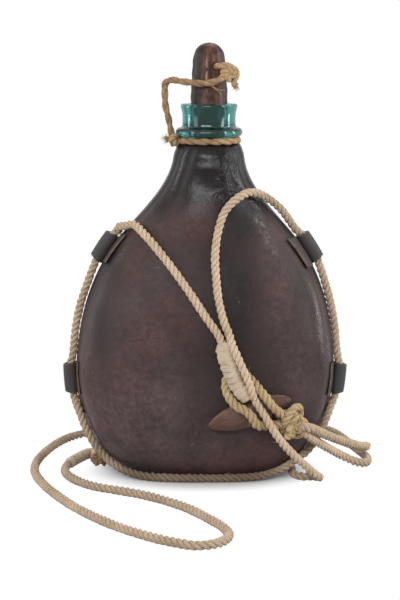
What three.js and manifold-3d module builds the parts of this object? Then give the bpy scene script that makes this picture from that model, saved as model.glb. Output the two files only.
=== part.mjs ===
// Soldier's canteen: a glass flask in a sewn leather cover, with a tied wooden stopper, four leather
// cord loops, a rim cord, a wooden toggle and a rope sling. Millimetres, +Z up, the front faces -Y.
import * as THREE from 'three';
import { mergeVertices } from 'three/addons/utils/BufferGeometryUtils.js';
import Module from 'manifold-3d';

const wasm = await Module();
wasm.setup();

const { degToRad, lerp, smoothstep } = THREE.MathUtils;
const vector = (x, y, z) => new THREE.Vector3(x, y, z);

// Middle of the footprint, so that the origin is under the middle of the object
const FOOTPRINT_X = 1.1;
const FOOTPRINT_Y = -6.6;

// Gap kept between pieces that touch
const GAP = 0.3;

// Outline of the leather cover, seen from the front
const BASE_HALF_WIDTH = 33.5;
const BODY_HALF_WIDTH = 74.8;
const WIDEST_HEIGHT = 65;
const UPPER_RISE = 102;
const UPPER_ANGLE = degToRad(48.5);
const SHOULDER_REACH = 24;
const NECK_HANDLE = { halfWidth: 21.8, height: 175 };
const NECK_FOOT = { halfWidth: 20.4, height: 188.9 };
const COVER_TOP = { halfWidth: 18.9, height: 193 };
const NECK_LEAN = 3.4;

// Depth of the leather cover, seen from the side
const BASE_HALF_DEPTH = 17;
const BODY_HALF_DEPTH = 33;
const DEEPEST_HEIGHT = 40;
const TAPER_FROM = 80;
const TAPER_TO = 178;
const NECK_RADIUS = 21.6;

// Corner fullness of the cross section: 2 is an ellipse, more is squarer
const FULLNESS = 2.6;
const ROUND_FROM = 110;

// Leather, its side seam and the thread in the seam's groove
const LEATHER = 2.5;
const SEAM_RIDGE = 0.4;
const RIDGE_FROM = 4;
const RIDGE_TO = 24;
const GROOVE_DEPTH = 1.8;
const GROOVE_HALF_WIDTH = 1.2;
const RIDGE_FOOT = 3.8;
const THREAD_RADIUS = 0.45;
const THREAD_DEPTH = 0.7;
const THREAD_SIDES = 6;
const THREAD_STEP = 7;
const COVER_ROWS = 24;
const FACE_ANGLES = [16, 30, 46, 62, 76, 90, 104, 118, 134, 150, 164].map(degToRad);

// Leather cord loops
const LOOP_LENGTH = 18.2;
const LOOP_REACH = 4.6;
const LOOP_HOLE = 2.9;
const LOOP_STRAP = 1.4;
const TONGUE_HALF = 1.4;
const TONGUE_DEPTH = 2;
const UPPER_LOOP_HEIGHT = 132.4;
const LOWER_LOOP_HEIGHT = 57;

// Glass flask
const GLASS = 3;
const NECK_GLASS = 5.9;
const THICKEN_FROM = 150;
const THICKEN_TO = 176;
const GLASS_NECK = [
  [16, 192], [14.4, 195], [14.4, 198], [17.6, 198.8], [19.2, 200.2], [19.2, 202.4], [17.6, 204],
  [15.5, 204.6], [15.5, 212], [16.4, 216.4], [15.6, 217.8], [12, 217.8],
];
const BORE_TOP = { radius: 11, height: 217 };
const BORE_FOOT = { radius: 10.3, height: 188 };

// Stopper: height, half width and half depth of each station from the plug's end to the crown
const STOPPER_STATIONS = [
  [193, 9.1, 9.1], [194.2, 9.9, 9.9], [217, 10.55, 10.55], [223, 10.6, 10.3], [229, 10.2, 9.4],
  [235, 9.85, 8.8], [244.5, 9, 7.8], [249, 7, 6.2], [251.6, 4, 3.6],
];
const STOPPER_TOP = 252.6;
const STOPPER_SIDES = 22;
const HOLE_OFFSET = 4.2;
const HOLE_HEIGHT = 239.2;
const HOLE_RADIUS = 2.5;
const HOLE_LENGTH = 40;

// Cord sizes
const ROPE_RADIUS = 2.5;
const ROPE_SIDES = 8;
const ROPE_STEP = 12.5;
const BEND_STEP = 9;
const HOOK_STEP = 6;
const TWINE_RADIUS = 2;
const TWINE_SIDES = 8;
const TWINE_STEP = 6;
const WHIPPING_RADIUS = 3.5;

// Twine round the glass neck
const NECK_RING_RADIUS = 16.8;
const NECK_RING_HEIGHT = 195.6;
const NECK_KNOT_HALF_ANGLE = degToRad(17);
const NECK_KNOT = { centre: vector(-17.6, -0.6, 196), radii: vector(4.4, 4.2, 3.2) };

// Seizing: centre line and half width of each station from top to bottom
const SEIZING_STATIONS = [
  [vector(11.8, -37.4, 85.5), 5], [vector(14.3, -39.6, 77), 5.6], [vector(17, -42.1, 68.7), 5.7],
  [vector(20.6, -42.9, 60.8), 5.3], [vector(24.6, -43.1, 54.4), 4.4],
];
const SEIZING_HALF_DEPTH = 3.2;
const SEIZING_SIDES = 12;

// Toggle: a pointed leaf of oval section
const TOGGLE_LEFT = vector(3.2, -39, 36.3);
const TOGGLE_RIGHT = vector(50.2, -36.2, 51.8);
const TOGGLE_HALF_WIDTH = 7.8;
const TOGGLE_HALF_THICKNESS = 4.4;
const TOGGLE_STATIONS = 10;
const TOGGLE_SIDES = 12;

// Rim cord on the front face: places across and up the leather, from the seizing to each shoulder
const FACE_LIFT = ROPE_RADIUS + 0.8;
const LEFT_LEG = [[8.9, 88], [1.3, 99], [-9.7, 115.3], [-21.7, 131.4], [-32.6, 143.7], [-38.2, 147.6]];
const RIGHT_LEG = [
  [14.8, 87.4], [12.1, 92.8], [10.1, 101.9], [8.4, 110.3], [7.3, 121], [6.7, 130.5], [7.3, 139.9],
  [9, 149.4], [12.1, 158.4], [18.6, 165.5], [27.3, 168.8],
];
const LEFT_SHOULDER = [vector(-44.6, -8.6, 149.6), vector(-49.6, -2, 148)];
const RIGHT_SHOULDER = [vector(35, -6.8, 168.4), vector(43, -1, 161.6)];

// Rim cord beside the cover: gap to the leather, heights between the loops, and heights below them with
// the angle that the cord stands in front of the seam
const RIM_OFFSET = 3.5;
const RIM_STEP = 8;
const SIDE_HEIGHTS = [116, 101, 86, 74];
const LOW_PLACES = [[38, 3], [29, 6], [20.5, 9]].map(([height, angle]) => [height, degToRad(angle)]);
const LOOP_LEAD = 12;
const RIM_FRONT = [
  vector(-61, -10.2, 12.8), vector(-55, -13.4, 7.8), vector(-46, -18.9, 4.5), vector(-35, -23.9, 2.9),
  vector(-18, -27.4, 2.6), vector(0, -28, 2.6), vector(18, -27.4, 2.6), vector(34, -25, 3.2),
  vector(44.5, -21.4, 5.4), vector(52.6, -17.4, 8.9), vector(61.4, -11.4, 13.8),
];

// Sling, rear stretch: from the seizing over the toggle to the floor, and behind the base to the hitch
const FLOOR = ROPE_RADIUS + 0.1;
const SLING_REAR = [
  vector(27.3, -43.5, 53.4), vector(31.4, -45.4, 49.6), vector(34.8, -46.8, 44.6),
  vector(39.2, -47.2, 37), vector(44.8, -45, 28.6), vector(51.3, -41.4, 20.6), vector(58, -37.4, 13.4),
  vector(62.2, -34.6, 9), vector(65.4, -32.2, 5.8), vector(67.6, -29, 3.5), vector(67.4, -25.6, FLOOR),
  vector(64, -24.2, FLOOR), vector(59.4, -24.6, FLOOR), vector(55.2, -22.2, FLOOR), vector(53, -17.6, FLOOR),
  vector(52.6, -12, FLOOR), vector(52.6, -5, FLOOR), vector(52, 6, FLOOR), vector(47.6, 18, FLOOR), vector(36, 27.4, FLOOR), vector(18, 31.4, FLOOR),
  vector(0, 32.4, FLOOR), vector(-25, 31.4, FLOOR), vector(-43, 26.6, FLOOR), vector(-53, 18, FLOOR),
  vector(-58.4, 10.4, 3.9),
];

// Hitch, and the hook of rope from it to the whipping
const HITCH = { centre: vector(-63.9, 6, 4.8), radii: vector(5.2, 4.8, 4.6) };
const SLING_HOOK = [
  vector(-64.8, 11.4, 4.9), vector(-64.8, 15.2, 4.6), vector(-65.6, 19.4, 4.3), vector(-67.9, 22, 4),
  vector(-70.6, 21.4, 3.8), vector(-72.2, 19, 3.8),
];
const WHIPPING = [
  vector(-72.5, 18.4, 3.8), vector(-75, 12.9, 3.8), vector(-77.8, 6.2, 3.8), vector(-80.4, -1, 3.8),
];

// Sling, front stretch: the loop on the floor, round behind the flask, and up to the knot
const SLING_FRONT = [
  vector(-80.8, -2, 3.6), vector(-81.8, -11.4, FLOOR), vector(-78.6, -23.1, FLOOR),
  vector(-71, -35.5, FLOOR), vector(-60.6, -45.6, FLOOR), vector(-49.4, -51.8, FLOOR),
  vector(-33.8, -61.2, FLOOR), vector(-20.6, -72.6, FLOOR), vector(-7.8, -87.3, FLOOR),
  vector(3, -105.1, FLOOR), vector(10.6, -120.4, FLOOR), vector(13, -134, FLOOR),
  vector(7.6, -145, FLOOR), vector(-2.8, -149.2, FLOOR), vector(-13.4, -144.9, FLOOR),
  vector(-25.4, -136.8, FLOOR), vector(-45.9, -117.4, FLOOR), vector(-68.2, -87.3, FLOOR),
  vector(-86.1, -53.5, FLOOR), vector(-93.4, -35.4, FLOOR), vector(-98.4, -18.9, FLOOR),
  vector(-100.5, -1.7, FLOOR), vector(-99.6, 16.2, FLOOR), vector(-96.3, 34.7, FLOOR),
  vector(-91.2, 53, FLOOR), vector(-84.6, 66.4, FLOOR), vector(-76.6, 75.2, FLOOR),
  vector(-50, 89, FLOOR), vector(-10, 97.4, FLOOR), vector(35, 99.6, FLOOR), vector(65, 96.4, FLOOR),
  vector(80, 87.6, FLOOR), vector(87.6, 72, FLOOR), vector(92.4, 52, FLOOR), vector(97, 32, FLOOR),
  vector(100.2, 16, FLOOR), vector(98.2, 5.8, FLOOR), vector(92.6, 0.8, 4.2), vector(83.4, -4.4, 9.4),
  vector(75.2, -14.2, 16), vector(67.4, -24, 22.8), vector(60.8, -34.6, 29.6),
];

// Overhand knot of the sling, its eye round the seizing and over the toggle, and its free tail
const KNOT_CENTRE = vector(50.2, -38.4, 38.2);
const KNOT_OUTWARD = vector(0.36, -0.92, -0.14).normalize();
const KNOT_SIZE = 2.5;
const KNOT_RISE = 1.35;
const KNOT_OPENING = degToRad(24);
const KNOT_TURN = degToRad(102);
const KNOT_POINTS = 37;
const KNOT_STEP = 3;
const SLING_EYE = [
  vector(41.2, -44.8, 48.6), vector(39, -45.4, 51.6), vector(36.4, -45, 55), vector(33.2, -43, 58.8),
  vector(29.8, -39.6, 62.6), vector(26, -36.8, 65.6), vector(21.6, -35.7, 67), vector(17, -35.7, 67),
  vector(13, -36.2, 65.8), vector(10.4, -37.6, 62.8), vector(10.2, -40.2, 58.6), vector(12.2, -43, 54.6),
  vector(15.6, -45, 51.4), vector(19.6, -46.2, 49.4), vector(23.6, -46.9, 47.6), vector(26.8, -47.2, 44.8),
  vector(28.9, -46.6, 41.4), vector(30.6, -44.8, 39), vector(33.2, -43, 38.2), vector(36.2, -42, 38.2),
  vector(38.6, -41.2, 38),
];
const EYE_STEP = 5;
const SLING_TAIL = [
  vector(62, -38.6, 35.2), vector(70, -26.8, 28.8), vector(79.6, -12, 21.6), vector(90, 4.6, 14.2),
  vector(97.6, 17, 9.6), vector(100.6, 22.4, 8.4),
];

// Twine from the neck knot to the stopper, and its turn into the stopper's hole
const TWINE_RISER = [
  vector(-18.2, -2.6, 200.8), vector(-19.7, -3.2, 208.4), vector(-21.6, -3.8, 217),
  vector(-22, -4, 227.2),
];
const STOPPER_TWINE = [
  vector(-22, -4, 227.7), vector(-21.8, -4.2, 229.2), vector(-19, -5.8, 231.6), vector(-9.8, -9.8, 230.4),
  vector(0.5, -12.4, 229.7), vector(6.4, -12.4, 230.2), vector(11.4, -10.6, 231.8),
  vector(15.2, -8.2, 233.2),
];
const STOPPER_KNOT = [
  vector(NECK_LEAN + HOLE_OFFSET, -1, HOLE_HEIGHT), vector(NECK_LEAN + HOLE_OFFSET, -7, HOLE_HEIGHT),
  vector(NECK_LEAN + HOLE_OFFSET + 1.6, -11.6, HOLE_HEIGHT), vector(13.4, -12.6, 239),
  vector(17.6, -10.2, 238.7), vector(19.7, -6.6, 237.2), vector(20, -4.6, 233.6),
  vector(19.2, -5.4, 230.6), vector(20.2, -6.6, 227.6),
];
const TWINE_FINE_STEP = 3;

// Materials
const finish = (color, roughness, extra = {}) =>
  new THREE.MeshStandardMaterial({ color, roughness, metalness: 0, ...extra });
const coverLeather = finish(0x3a2a27, 0.45);
const strapLeather = finish(0x33302e, 0.7);
const tealGlass = finish(0x4fa296, 0.08, { transparent: true, opacity: 0.6 });
const stopperWood = finish(0x3b2519, 0.6);
const toggleWood = finish(0x6d4631, 0.55);
const paleRope = finish(0xcfba95, 0.9);
const wornRope = finish(0xa08a63, 0.9);
const juteTwine = finish(0xa67f48, 0.9);
const greyThread = finish(0xb8ac98, 0.85);
const seamThread = finish(0x2b211d, 0.8);

const canteen = new THREE.Group();
canteen.position.set(-FOOTPRINT_X, -FOOTPRINT_Y, 0);

function addPart(name, geometry, material) {
  const mesh = new THREE.Mesh(geometry, material);
  mesh.name = name;
  canteen.add(mesh);
  return mesh;
}

// Outline of the cover from the base edge to the top of the neck, half width against height
function coverOutline() {
  const corner = new THREE.EllipseCurve(
    BASE_HALF_WIDTH, WIDEST_HEIGHT, BODY_HALF_WIDTH - BASE_HALF_WIDTH, WIDEST_HEIGHT, -Math.PI / 2, 0);
  const upper = new THREE.EllipseCurve(0, WIDEST_HEIGHT, BODY_HALF_WIDTH, UPPER_RISE, 0, UPPER_ANGLE);
  const start = upper.getPoint(1);
  const slope = (-BODY_HALF_WIDTH / UPPER_RISE) * Math.tan(UPPER_ANGLE);
  const handle = start.clone().add(new THREE.Vector2(slope, 1).multiplyScalar(SHOULDER_REACH));
  const neckHandle = new THREE.Vector2(NECK_HANDLE.halfWidth, NECK_HANDLE.height);
  const neckFoot = new THREE.Vector2(NECK_FOOT.halfWidth, NECK_FOOT.height);
  const shoulder = new THREE.CubicBezierCurve(start, handle, neckHandle, neckFoot);
  const rim = new THREE.LineCurve(neckFoot, new THREE.Vector2(COVER_TOP.halfWidth, COVER_TOP.height));
  const path = new THREE.CurvePath();
  [corner, upper, shoulder, rim].forEach((curve) => path.add(curve));
  return path;
}

const outline = coverOutline();

// Share of the outline's length at which it reaches a height, found by halving
function outlineShare(height) {
  let low = 0;
  let high = 1;
  for (let i = 0; i < 40; i += 1) {
    const middle = (low + high) / 2;
    if (outline.getPoint(middle).y < height) low = middle;
    else high = middle;
  }
  return (low + high) / 2;
}

const lean = (height) => (NECK_LEAN * height) / COVER_TOP.height;

// Cross section of the cover at a share of the outline
function section(share) {
  const point = outline.getPoint(share);
  const halfWidth = point.x;
  const height = point.y;
  const drop = Math.max(0, (DEEPEST_HEIGHT - height) / DEEPEST_HEIGHT);
  const corner = lerp(BASE_HALF_DEPTH, BODY_HALF_DEPTH, Math.sqrt(1 - drop * drop));
  const halfDepth = Math.min(halfWidth, lerp(corner, NECK_RADIUS, smoothstep(height, TAPER_FROM, TAPER_TO)));
  const power = lerp(FULLNESS, 2, smoothstep(height, ROUND_FROM, TAPER_TO));
  return { halfWidth, height, halfDepth, power };
}

const signedPower = (value, power) => Math.sign(value) * Math.abs(value) ** power;

// Point of the cover's outer form: angle 0 is the right seam, a quarter turn is the middle of the front
function formPoint(share, angle) {
  const { halfWidth, height, halfDepth, power } = section(share);
  const x = lean(height) + halfWidth * signedPower(Math.cos(angle), 2 / power);
  const y = -halfDepth * signedPower(Math.sin(angle), 2 / power);
  return vector(x, y, height);
}

// Outward normal of that form
function formNormal(share, angle) {
  const step = 1e-3;
  const up = formPoint(Math.min(share + step, 1), angle).sub(formPoint(Math.max(share - step, 0), angle));
  const round = formPoint(share, angle + step).sub(formPoint(share, angle - step));
  return up.cross(round).normalize();
}

const offsetPoint = (share, angle, offset) =>
  formPoint(share, angle).addScaledVector(formNormal(share, angle), offset);

// Angle from the right seam at which the form stands a distance in front of the seam plane
function seamAngle(share, distance) {
  const { halfDepth, power } = section(share);
  return Math.asin((distance / halfDepth) ** (power / 2));
}

// Point in front of the leather's face at a place across and up, lifted off it
function facePoint(x, height, lift) {
  const depthAt = (across, up) => {
    const { halfWidth, halfDepth, power } = section(outlineShare(up));
    const share = Math.min(Math.abs(across - lean(up)) / halfWidth, 1);
    return -halfDepth * (1 - share ** power) ** (1 / power);
  };
  const step = 0.2;
  const slopeX = (depthAt(x + step, height) - depthAt(x - step, height)) / (2 * step);
  const slopeZ = (depthAt(x, height + step) - depthAt(x, height - step)) / (2 * step);
  const normal = vector(slopeX, -1, slopeZ).normalize();
  return vector(x, depthAt(x, height), height).addScaledVector(normal, lift);
}

// Closed geometry from triangles given as points: shared points are merged, flat slivers dropped,
// and the faces turned outwards
function closedGeometry(triangles) {
  const loose = new THREE.BufferGeometry();
  const positions = triangles.flatMap((triangle) => triangle.flatMap((point) => point.toArray()));
  loose.setAttribute('position', new THREE.Float32BufferAttribute(positions, 3));
  const merged = mergeVertices(loose, 1e-3);
  const index = merged.getIndex();
  const kept = [];
  let volume = 0;
  const corner = [vector(0, 0, 0), vector(0, 0, 0), vector(0, 0, 0)];
  for (let i = 0; i < index.count; i += 3) {
    const ids = [index.getX(i), index.getX(i + 1), index.getX(i + 2)];
    if (new Set(ids).size === 3) {
      kept.push(ids);
      ids.forEach((id, k) => corner[k].fromBufferAttribute(merged.getAttribute('position'), id));
      volume += corner[0].dot(corner[1].clone().cross(corner[2]));
    }
  }
  merged.setIndex(kept.flatMap(([a, b, c]) => (volume > 0 ? [a, b, c] : [a, c, b])));
  return merged;
}

// Two triangles for each cell of a grid of points
function gridTriangles(rows, flip = false) {
  const triangles = [];
  for (let r = 0; r + 1 < rows.length; r += 1) {
    for (let c = 0; c + 1 < rows[r].length; c += 1) {
      const [a, b, d, e] = [rows[r][c], rows[r][c + 1], rows[r + 1][c], rows[r + 1][c + 1]];
      if (flip) triangles.push([a, d, b], [b, d, e]);
      else triangles.push([a, b, d], [b, e, d]);
    }
  }
  return triangles;
}

// Solid skinned over a stack of rings of points, with a point at each end
function stackedRings(rings, startPoint, endPoint) {
  const closed = rings.map((ring) => [...ring, ring[0]]);
  const cap = (point, count) => new Array(count).fill(point);
  const count = closed[0].length;
  return closedGeometry(gridTriangles([cap(startPoint, count), ...closed, cap(endPoint, count)]));
}

const turns = (count) => Array.from({ length: count }, (_, i) => (2 * Math.PI * i) / count);

// Closed solids for cuts
function toSolid(geometry) {
  const plain = new THREE.BufferGeometry();
  plain.setAttribute('position', geometry.getAttribute('position').clone());
  if (geometry.getIndex()) plain.setIndex(geometry.getIndex().clone());
  const merged = mergeVertices(plain, 1e-4);
  return new wasm.Manifold(new wasm.Mesh({
    numProp: 3,
    vertProperties: merged.getAttribute('position').array,
    triVerts: new Uint32Array(merged.getIndex().array),
  }));
}

function toGeometry(solid) {
  const mesh = solid.getMesh();
  const geometry = new THREE.BufferGeometry();
  geometry.setAttribute('position', new THREE.BufferAttribute(mesh.vertProperties, 3));
  geometry.setIndex(new THREE.BufferAttribute(mesh.triVerts, 1));
  return geometry;
}

// Place of a cord loop on the seam: the point on the leather, outward direction and direction up the rim
function loopPlace(side, height) {
  const share = outlineShare(height);
  const angle = side > 0 ? 0 : Math.PI;
  const origin = formPoint(share, angle);
  const outward = formNormal(share, angle).setY(0).normalize();
  const upward = vector(-outward.z * side, 0, outward.x * side);
  const basis = new THREE.Matrix4().makeBasis(outward, upward.clone().cross(outward), upward);
  return { origin, outward, upward, basis };
}

const LOOPS = {
  cord_loop_upper_left: loopPlace(-1, UPPER_LOOP_HEIGHT),
  cord_loop_lower_left: loopPlace(-1, LOWER_LOOP_HEIGHT),
  cord_loop_lower_right: loopPlace(1, LOWER_LOOP_HEIGHT),
  cord_loop_upper_right: loopPlace(1, UPPER_LOOP_HEIGHT),
};

// Slots in the seam that the loops' tongues pass through
function tongueSlots() {
  const inner = LEATHER + 1;
  const outer = 2 * SEAM_RIDGE;
  let slots = null;
  Object.values(LOOPS).forEach(({ origin, outward, basis }) => {
    const box = new THREE.BoxGeometry(inner + outer, 2 * (TONGUE_HALF + GAP), LOOP_LENGTH + 2 * GAP);
    const centre = origin.clone().addScaledVector(outward, (outer - inner) / 2);
    box.applyMatrix4(new THREE.Matrix4().setPosition(centre).multiply(basis));
    slots = slots ? slots.add(toSolid(box)) : toSolid(box);
  });
  return slots;
}

// Bring the points beside each end of a row level with the end point, so that the base meets them square
function squareEnds(row, count) {
  for (let i = 1; i < count; i += 1) {
    row.at(i).setX(row.at(0).x);
    row.at(-1 - i).setX(row.at(-1).x);
  }
}

// Half of the leather cover: an outer and an inner skin from the neck down to the seam across the base.
// The outer skin rises to a low ridge beside the seam and dips to a groove at it.
function leatherPanel(towardsFront) {
  const nearSeam = [GAP / 2, GROOVE_HALF_WIDTH, RIDGE_FOOT];
  const place = (share, angle, offset) => {
    const point = offsetPoint(share, angle, offset);
    return towardsFront ? point : point.setY(-point.y);
  };
  const seamLift = (distance, height) => {
    if (distance < GROOVE_HALF_WIDTH - GAP) return -GROOVE_DEPTH;
    if (distance < RIDGE_FOOT - GAP) return SEAM_RIDGE * smoothstep(height, RIDGE_FROM, RIDGE_TO);
    return 0;
  };
  const outer = [];
  const inner = [];
  for (let row = COVER_ROWS; row >= 0; row -= 1) {
    const share = row / COVER_ROWS;
    const near = nearSeam.map((distance) => seamAngle(share, distance));
    const angles = [...near, ...FACE_ANGLES, ...near.map((angle) => Math.PI - angle).reverse()];
    const height = section(share).height;
    const lifts = angles.map((angle) => seamLift(Math.abs(formPoint(share, angle).y), height));
    outer.push(angles.map((angle, i) => place(share, angle, lifts[i])));
    inner.push(angles.map((angle) => place(share, angle, -LEATHER)));
  }
  [outer, inner].forEach((rows) => squareEnds(rows.at(-1), nearSeam.length));
  const edge = outer.at(-1);
  const innerEdge = inner.at(-1).map((point) => point.setZ(LEATHER));
  const side = towardsFront ? -1 : 1;
  [...nearSeam].reverse().forEach((distance) => {
    const reach = (point) => Math.min(Math.abs(point.y), distance);
    outer.push(edge.map((point) => vector(point.x, side * reach(point), -seamLift(reach(point), 0))));
    inner.push(innerEdge.map((point) => vector(point.x, side * reach(point), LEATHER)));
  });
  const column = (rows, index) => rows.map((row) => row.at(index));
  const triangles = [
    ...gridTriangles(outer),
    ...gridTriangles(inner, true),
    ...gridTriangles([inner[0], outer[0]]),
    ...gridTriangles([outer.at(-1), inner.at(-1)]),
    ...gridTriangles([column(inner, 0), column(outer, 0)], true),
    ...gridTriangles([column(outer, -1), column(inner, -1)], true),
  ];
  return toGeometry(toSolid(closedGeometry(triangles)).subtract(tongueSlots()));
}

// Strap folded round the rim cord, its joined ends a tongue in the seam
function cordLoop() {
  const outerRadius = LOOP_HOLE + LOOP_STRAP;
  const meet = Math.asin(TONGUE_HALF / outerRadius);
  const strap = new THREE.Shape();
  strap.moveTo(-TONGUE_DEPTH, -TONGUE_HALF);
  strap.absarc(LOOP_REACH, 0, outerRadius, Math.PI + meet, 3 * Math.PI - meet, false);
  strap.lineTo(-TONGUE_DEPTH, TONGUE_HALF);
  strap.closePath();
  const hole = new THREE.Path();
  hole.absarc(LOOP_REACH, 0, LOOP_HOLE, 0, 2 * Math.PI, true);
  strap.holes.push(hole);
  const options = { depth: LOOP_LENGTH, bevelEnabled: false, curveSegments: 7 };
  const geometry = new THREE.ExtrudeGeometry(strap, options);
  return geometry.translate(0, 0, -LOOP_LENGTH / 2);
}

// Glass flask: one skin from the base outside, up over the lip and down the bore to the base inside
function glassFlask() {
  const angles = [0, ...FACE_ANGLES, Math.PI, ...FACE_ANGLES.map((angle) => angle + Math.PI)];
  const outset = LEATHER + 2 * GAP;
  const shares = Array.from({ length: COVER_ROWS - 1 }, (_, row) => row / COVER_ROWS);
  const neckRing = ([radius, height]) =>
    angles.map((angle) => vector(NECK_LEAN + radius * Math.cos(angle), -radius * Math.sin(angle), height));
  const innerInset = (share) =>
    outset + lerp(GLASS, NECK_GLASS, smoothstep(section(share).height, THICKEN_FROM, THICKEN_TO));
  const bore = [BORE_TOP, BORE_FOOT].map(({ radius, height }) => [radius, height]);
  const innerShares = shares.filter((share) => section(share).height < THICKEN_TO).reverse();
  const rings = [
    ...shares.map((share) => angles.map((angle) => offsetPoint(share, angle, -outset))),
    ...[...GLASS_NECK, ...bore].map(neckRing),
    ...innerShares.map((share) => angles.map((angle) => offsetPoint(share, angle, -innerInset(share)))),
  ];
  return stackedRings(rings, vector(0, 0, outset), vector(0, 0, outset + GLASS));
}

// Carved stopper with a cross hole for its twine
function woodenStopper() {
  const rings = STOPPER_STATIONS.map(([height, halfWidth, halfDepth]) => turns(STOPPER_SIDES).map((angle) =>
    vector(NECK_LEAN + halfWidth * Math.cos(angle), halfDepth * Math.sin(angle), height)));
  const foot = vector(NECK_LEAN, 0, STOPPER_STATIONS[0][0]);
  const body = toSolid(stackedRings(rings, foot, vector(NECK_LEAN, 0, STOPPER_TOP)));
  const drill = new THREE.CylinderGeometry(HOLE_RADIUS, HOLE_RADIUS, HOLE_LENGTH, 10);
  drill.translate(NECK_LEAN + HOLE_OFFSET, 0, HOLE_HEIGHT);
  return toGeometry(body.subtract(toSolid(drill)));
}

// Plain cord of round section along a smooth curve through its points
function cord(points, radius, sides, step) {
  const circle = turns(sides).map((angle) =>
    new THREE.Vector2(radius * Math.cos(angle), radius * Math.sin(angle)));
  const extrudePath = new THREE.CatmullRomCurve3(points);
  const steps = Math.ceil(extrudePath.getLength() / step);
  return new THREE.ExtrudeGeometry(new THREE.Shape(circle), { steps, extrudePath });
}

const rope = (points, step = ROPE_STEP) => cord(points, ROPE_RADIUS, ROPE_SIDES, step);
const twine = (points, step = TWINE_STEP) => cord(points, TWINE_RADIUS, TWINE_SIDES, step);

// Small knot: a ball with three rounded folds that wind round it
function foldedKnot({ centre, radii }) {
  const columns = 12;
  const bands = 7;
  const rings = [];
  for (let band = 1; band < bands; band += 1) {
    const tilt = (Math.PI * band) / bands;
    rings.push(turns(columns).map((angle) => {
      const swell = 1 - 0.12 * Math.sin(tilt) * (1 + Math.sin(3 * angle + 2 * tilt));
      const ring = new THREE.Vector3().setFromCylindricalCoords(Math.sin(tilt), angle, Math.cos(tilt));
      return vector(ring.z, ring.x, ring.y).multiplyScalar(swell).multiply(radii).add(centre);
    }));
  }
  const pole = (sign) => vector(0, 0, sign * radii.z).add(centre);
  return stackedRings(rings, pole(1), pole(-1));
}

// Overhand knot: an open trefoil lying against the leather, its two ends on the right
function overhandKnot() {
  const across = vector(0, 0, 1).cross(KNOT_OUTWARD).negate().normalize();
  const upward = KNOT_OUTWARD.clone().cross(across).normalize();
  const points = [];
  for (let i = 0; i < KNOT_POINTS; i += 1) {
    const angle = Math.PI + KNOT_OPENING + ((2 * Math.PI - 2 * KNOT_OPENING) * i) / (KNOT_POINTS - 1);
    const flat = new THREE.Vector2(
      Math.sin(angle) + 2 * Math.sin(2 * angle), Math.cos(angle) - 2 * Math.cos(2 * angle));
    flat.rotateAround(new THREE.Vector2(0, 0), KNOT_TURN).multiplyScalar(KNOT_SIZE);
    points.push(KNOT_CENTRE.clone().addScaledVector(across, flat.x).addScaledVector(upward, flat.y)
      .addScaledVector(KNOT_OUTWARD, -KNOT_SIZE * KNOT_RISE * Math.sin(3 * angle)));
  }
  return rope(points, KNOT_STEP);
}

// Thread binding of the two legs: an oval sleeve that follows them down the face
function cordSeizing() {
  const rings = SEIZING_STATIONS.map(([centre, halfWidth], i) => {
    const before = SEIZING_STATIONS[Math.max(i - 1, 0)][0];
    const after = SEIZING_STATIONS[Math.min(i + 1, SEIZING_STATIONS.length - 1)][0];
    const along = after.clone().sub(before).normalize();
    const wide = vector(0, -1, 0).cross(along).normalize();
    const thick = along.clone().cross(wide);
    return turns(SEIZING_SIDES).map((angle) => centre.clone()
      .addScaledVector(wide, halfWidth * Math.cos(angle))
      .addScaledVector(thick, SEIZING_HALF_DEPTH * Math.sin(angle)));
  });
  return stackedRings(rings, SEIZING_STATIONS[0][0], SEIZING_STATIONS.at(-1)[0]);
}

// Leaf-shaped toggle of oval section, pointed at both tips
function leafToggle() {
  const along = TOGGLE_RIGHT.clone().sub(TOGGLE_LEFT);
  const wide = vector(0, -1, 0).cross(along).normalize();
  const thick = along.clone().normalize().cross(wide);
  const rings = [];
  for (let station = 1; station < TOGGLE_STATIONS; station += 1) {
    const share = station / TOGGLE_STATIONS;
    const swell = Math.sin(Math.PI * share) ** 0.7;
    rings.push(turns(TOGGLE_SIDES).map((angle) => TOGGLE_LEFT.clone().addScaledVector(along, share)
      .addScaledVector(wide, swell * TOGGLE_HALF_WIDTH * Math.cos(angle))
      .addScaledVector(thick, swell * TOGGLE_HALF_THICKNESS * Math.sin(angle))));
  }
  return stackedRings(rings, TOGGLE_LEFT, TOGGLE_RIGHT);
}

// Rim cord: down the left side from the seizing, across the front of the base, and up the right side
function rimCordRoute() {
  const beside = (side, height, angle = 0) =>
    offsetPoint(outlineShare(height), side > 0 ? angle : Math.PI - angle, RIM_OFFSET);
  const leads = [LOOP_LEAD, LOOP_LEAD / 2, -LOOP_LEAD / 2, -LOOP_LEAD];
  const through = ({ origin, outward, upward }) => leads.map((lead) =>
    origin.clone().addScaledVector(outward, LOOP_REACH).addScaledVector(upward, lead));
  const onFace = ([x, height]) => facePoint(x, height, FACE_LIFT);
  const leftSide = [
    ...LEFT_LEG.map(onFace), ...LEFT_SHOULDER, ...through(LOOPS.cord_loop_upper_left),
    ...SIDE_HEIGHTS.map((height) => beside(-1, height)), ...through(LOOPS.cord_loop_lower_left),
    ...LOW_PLACES.map(([height, angle]) => beside(-1, height, angle)),
  ];
  const rightSide = [
    ...RIGHT_LEG.map(onFace), ...RIGHT_SHOULDER, ...through(LOOPS.cord_loop_upper_right),
    ...SIDE_HEIGHTS.map((height) => beside(1, height)), ...through(LOOPS.cord_loop_lower_right),
    ...LOW_PLACES.map(([height, angle]) => beside(1, height, angle)),
  ];
  return [...leftSide, ...RIM_FRONT, ...rightSide.reverse()];
}

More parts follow.
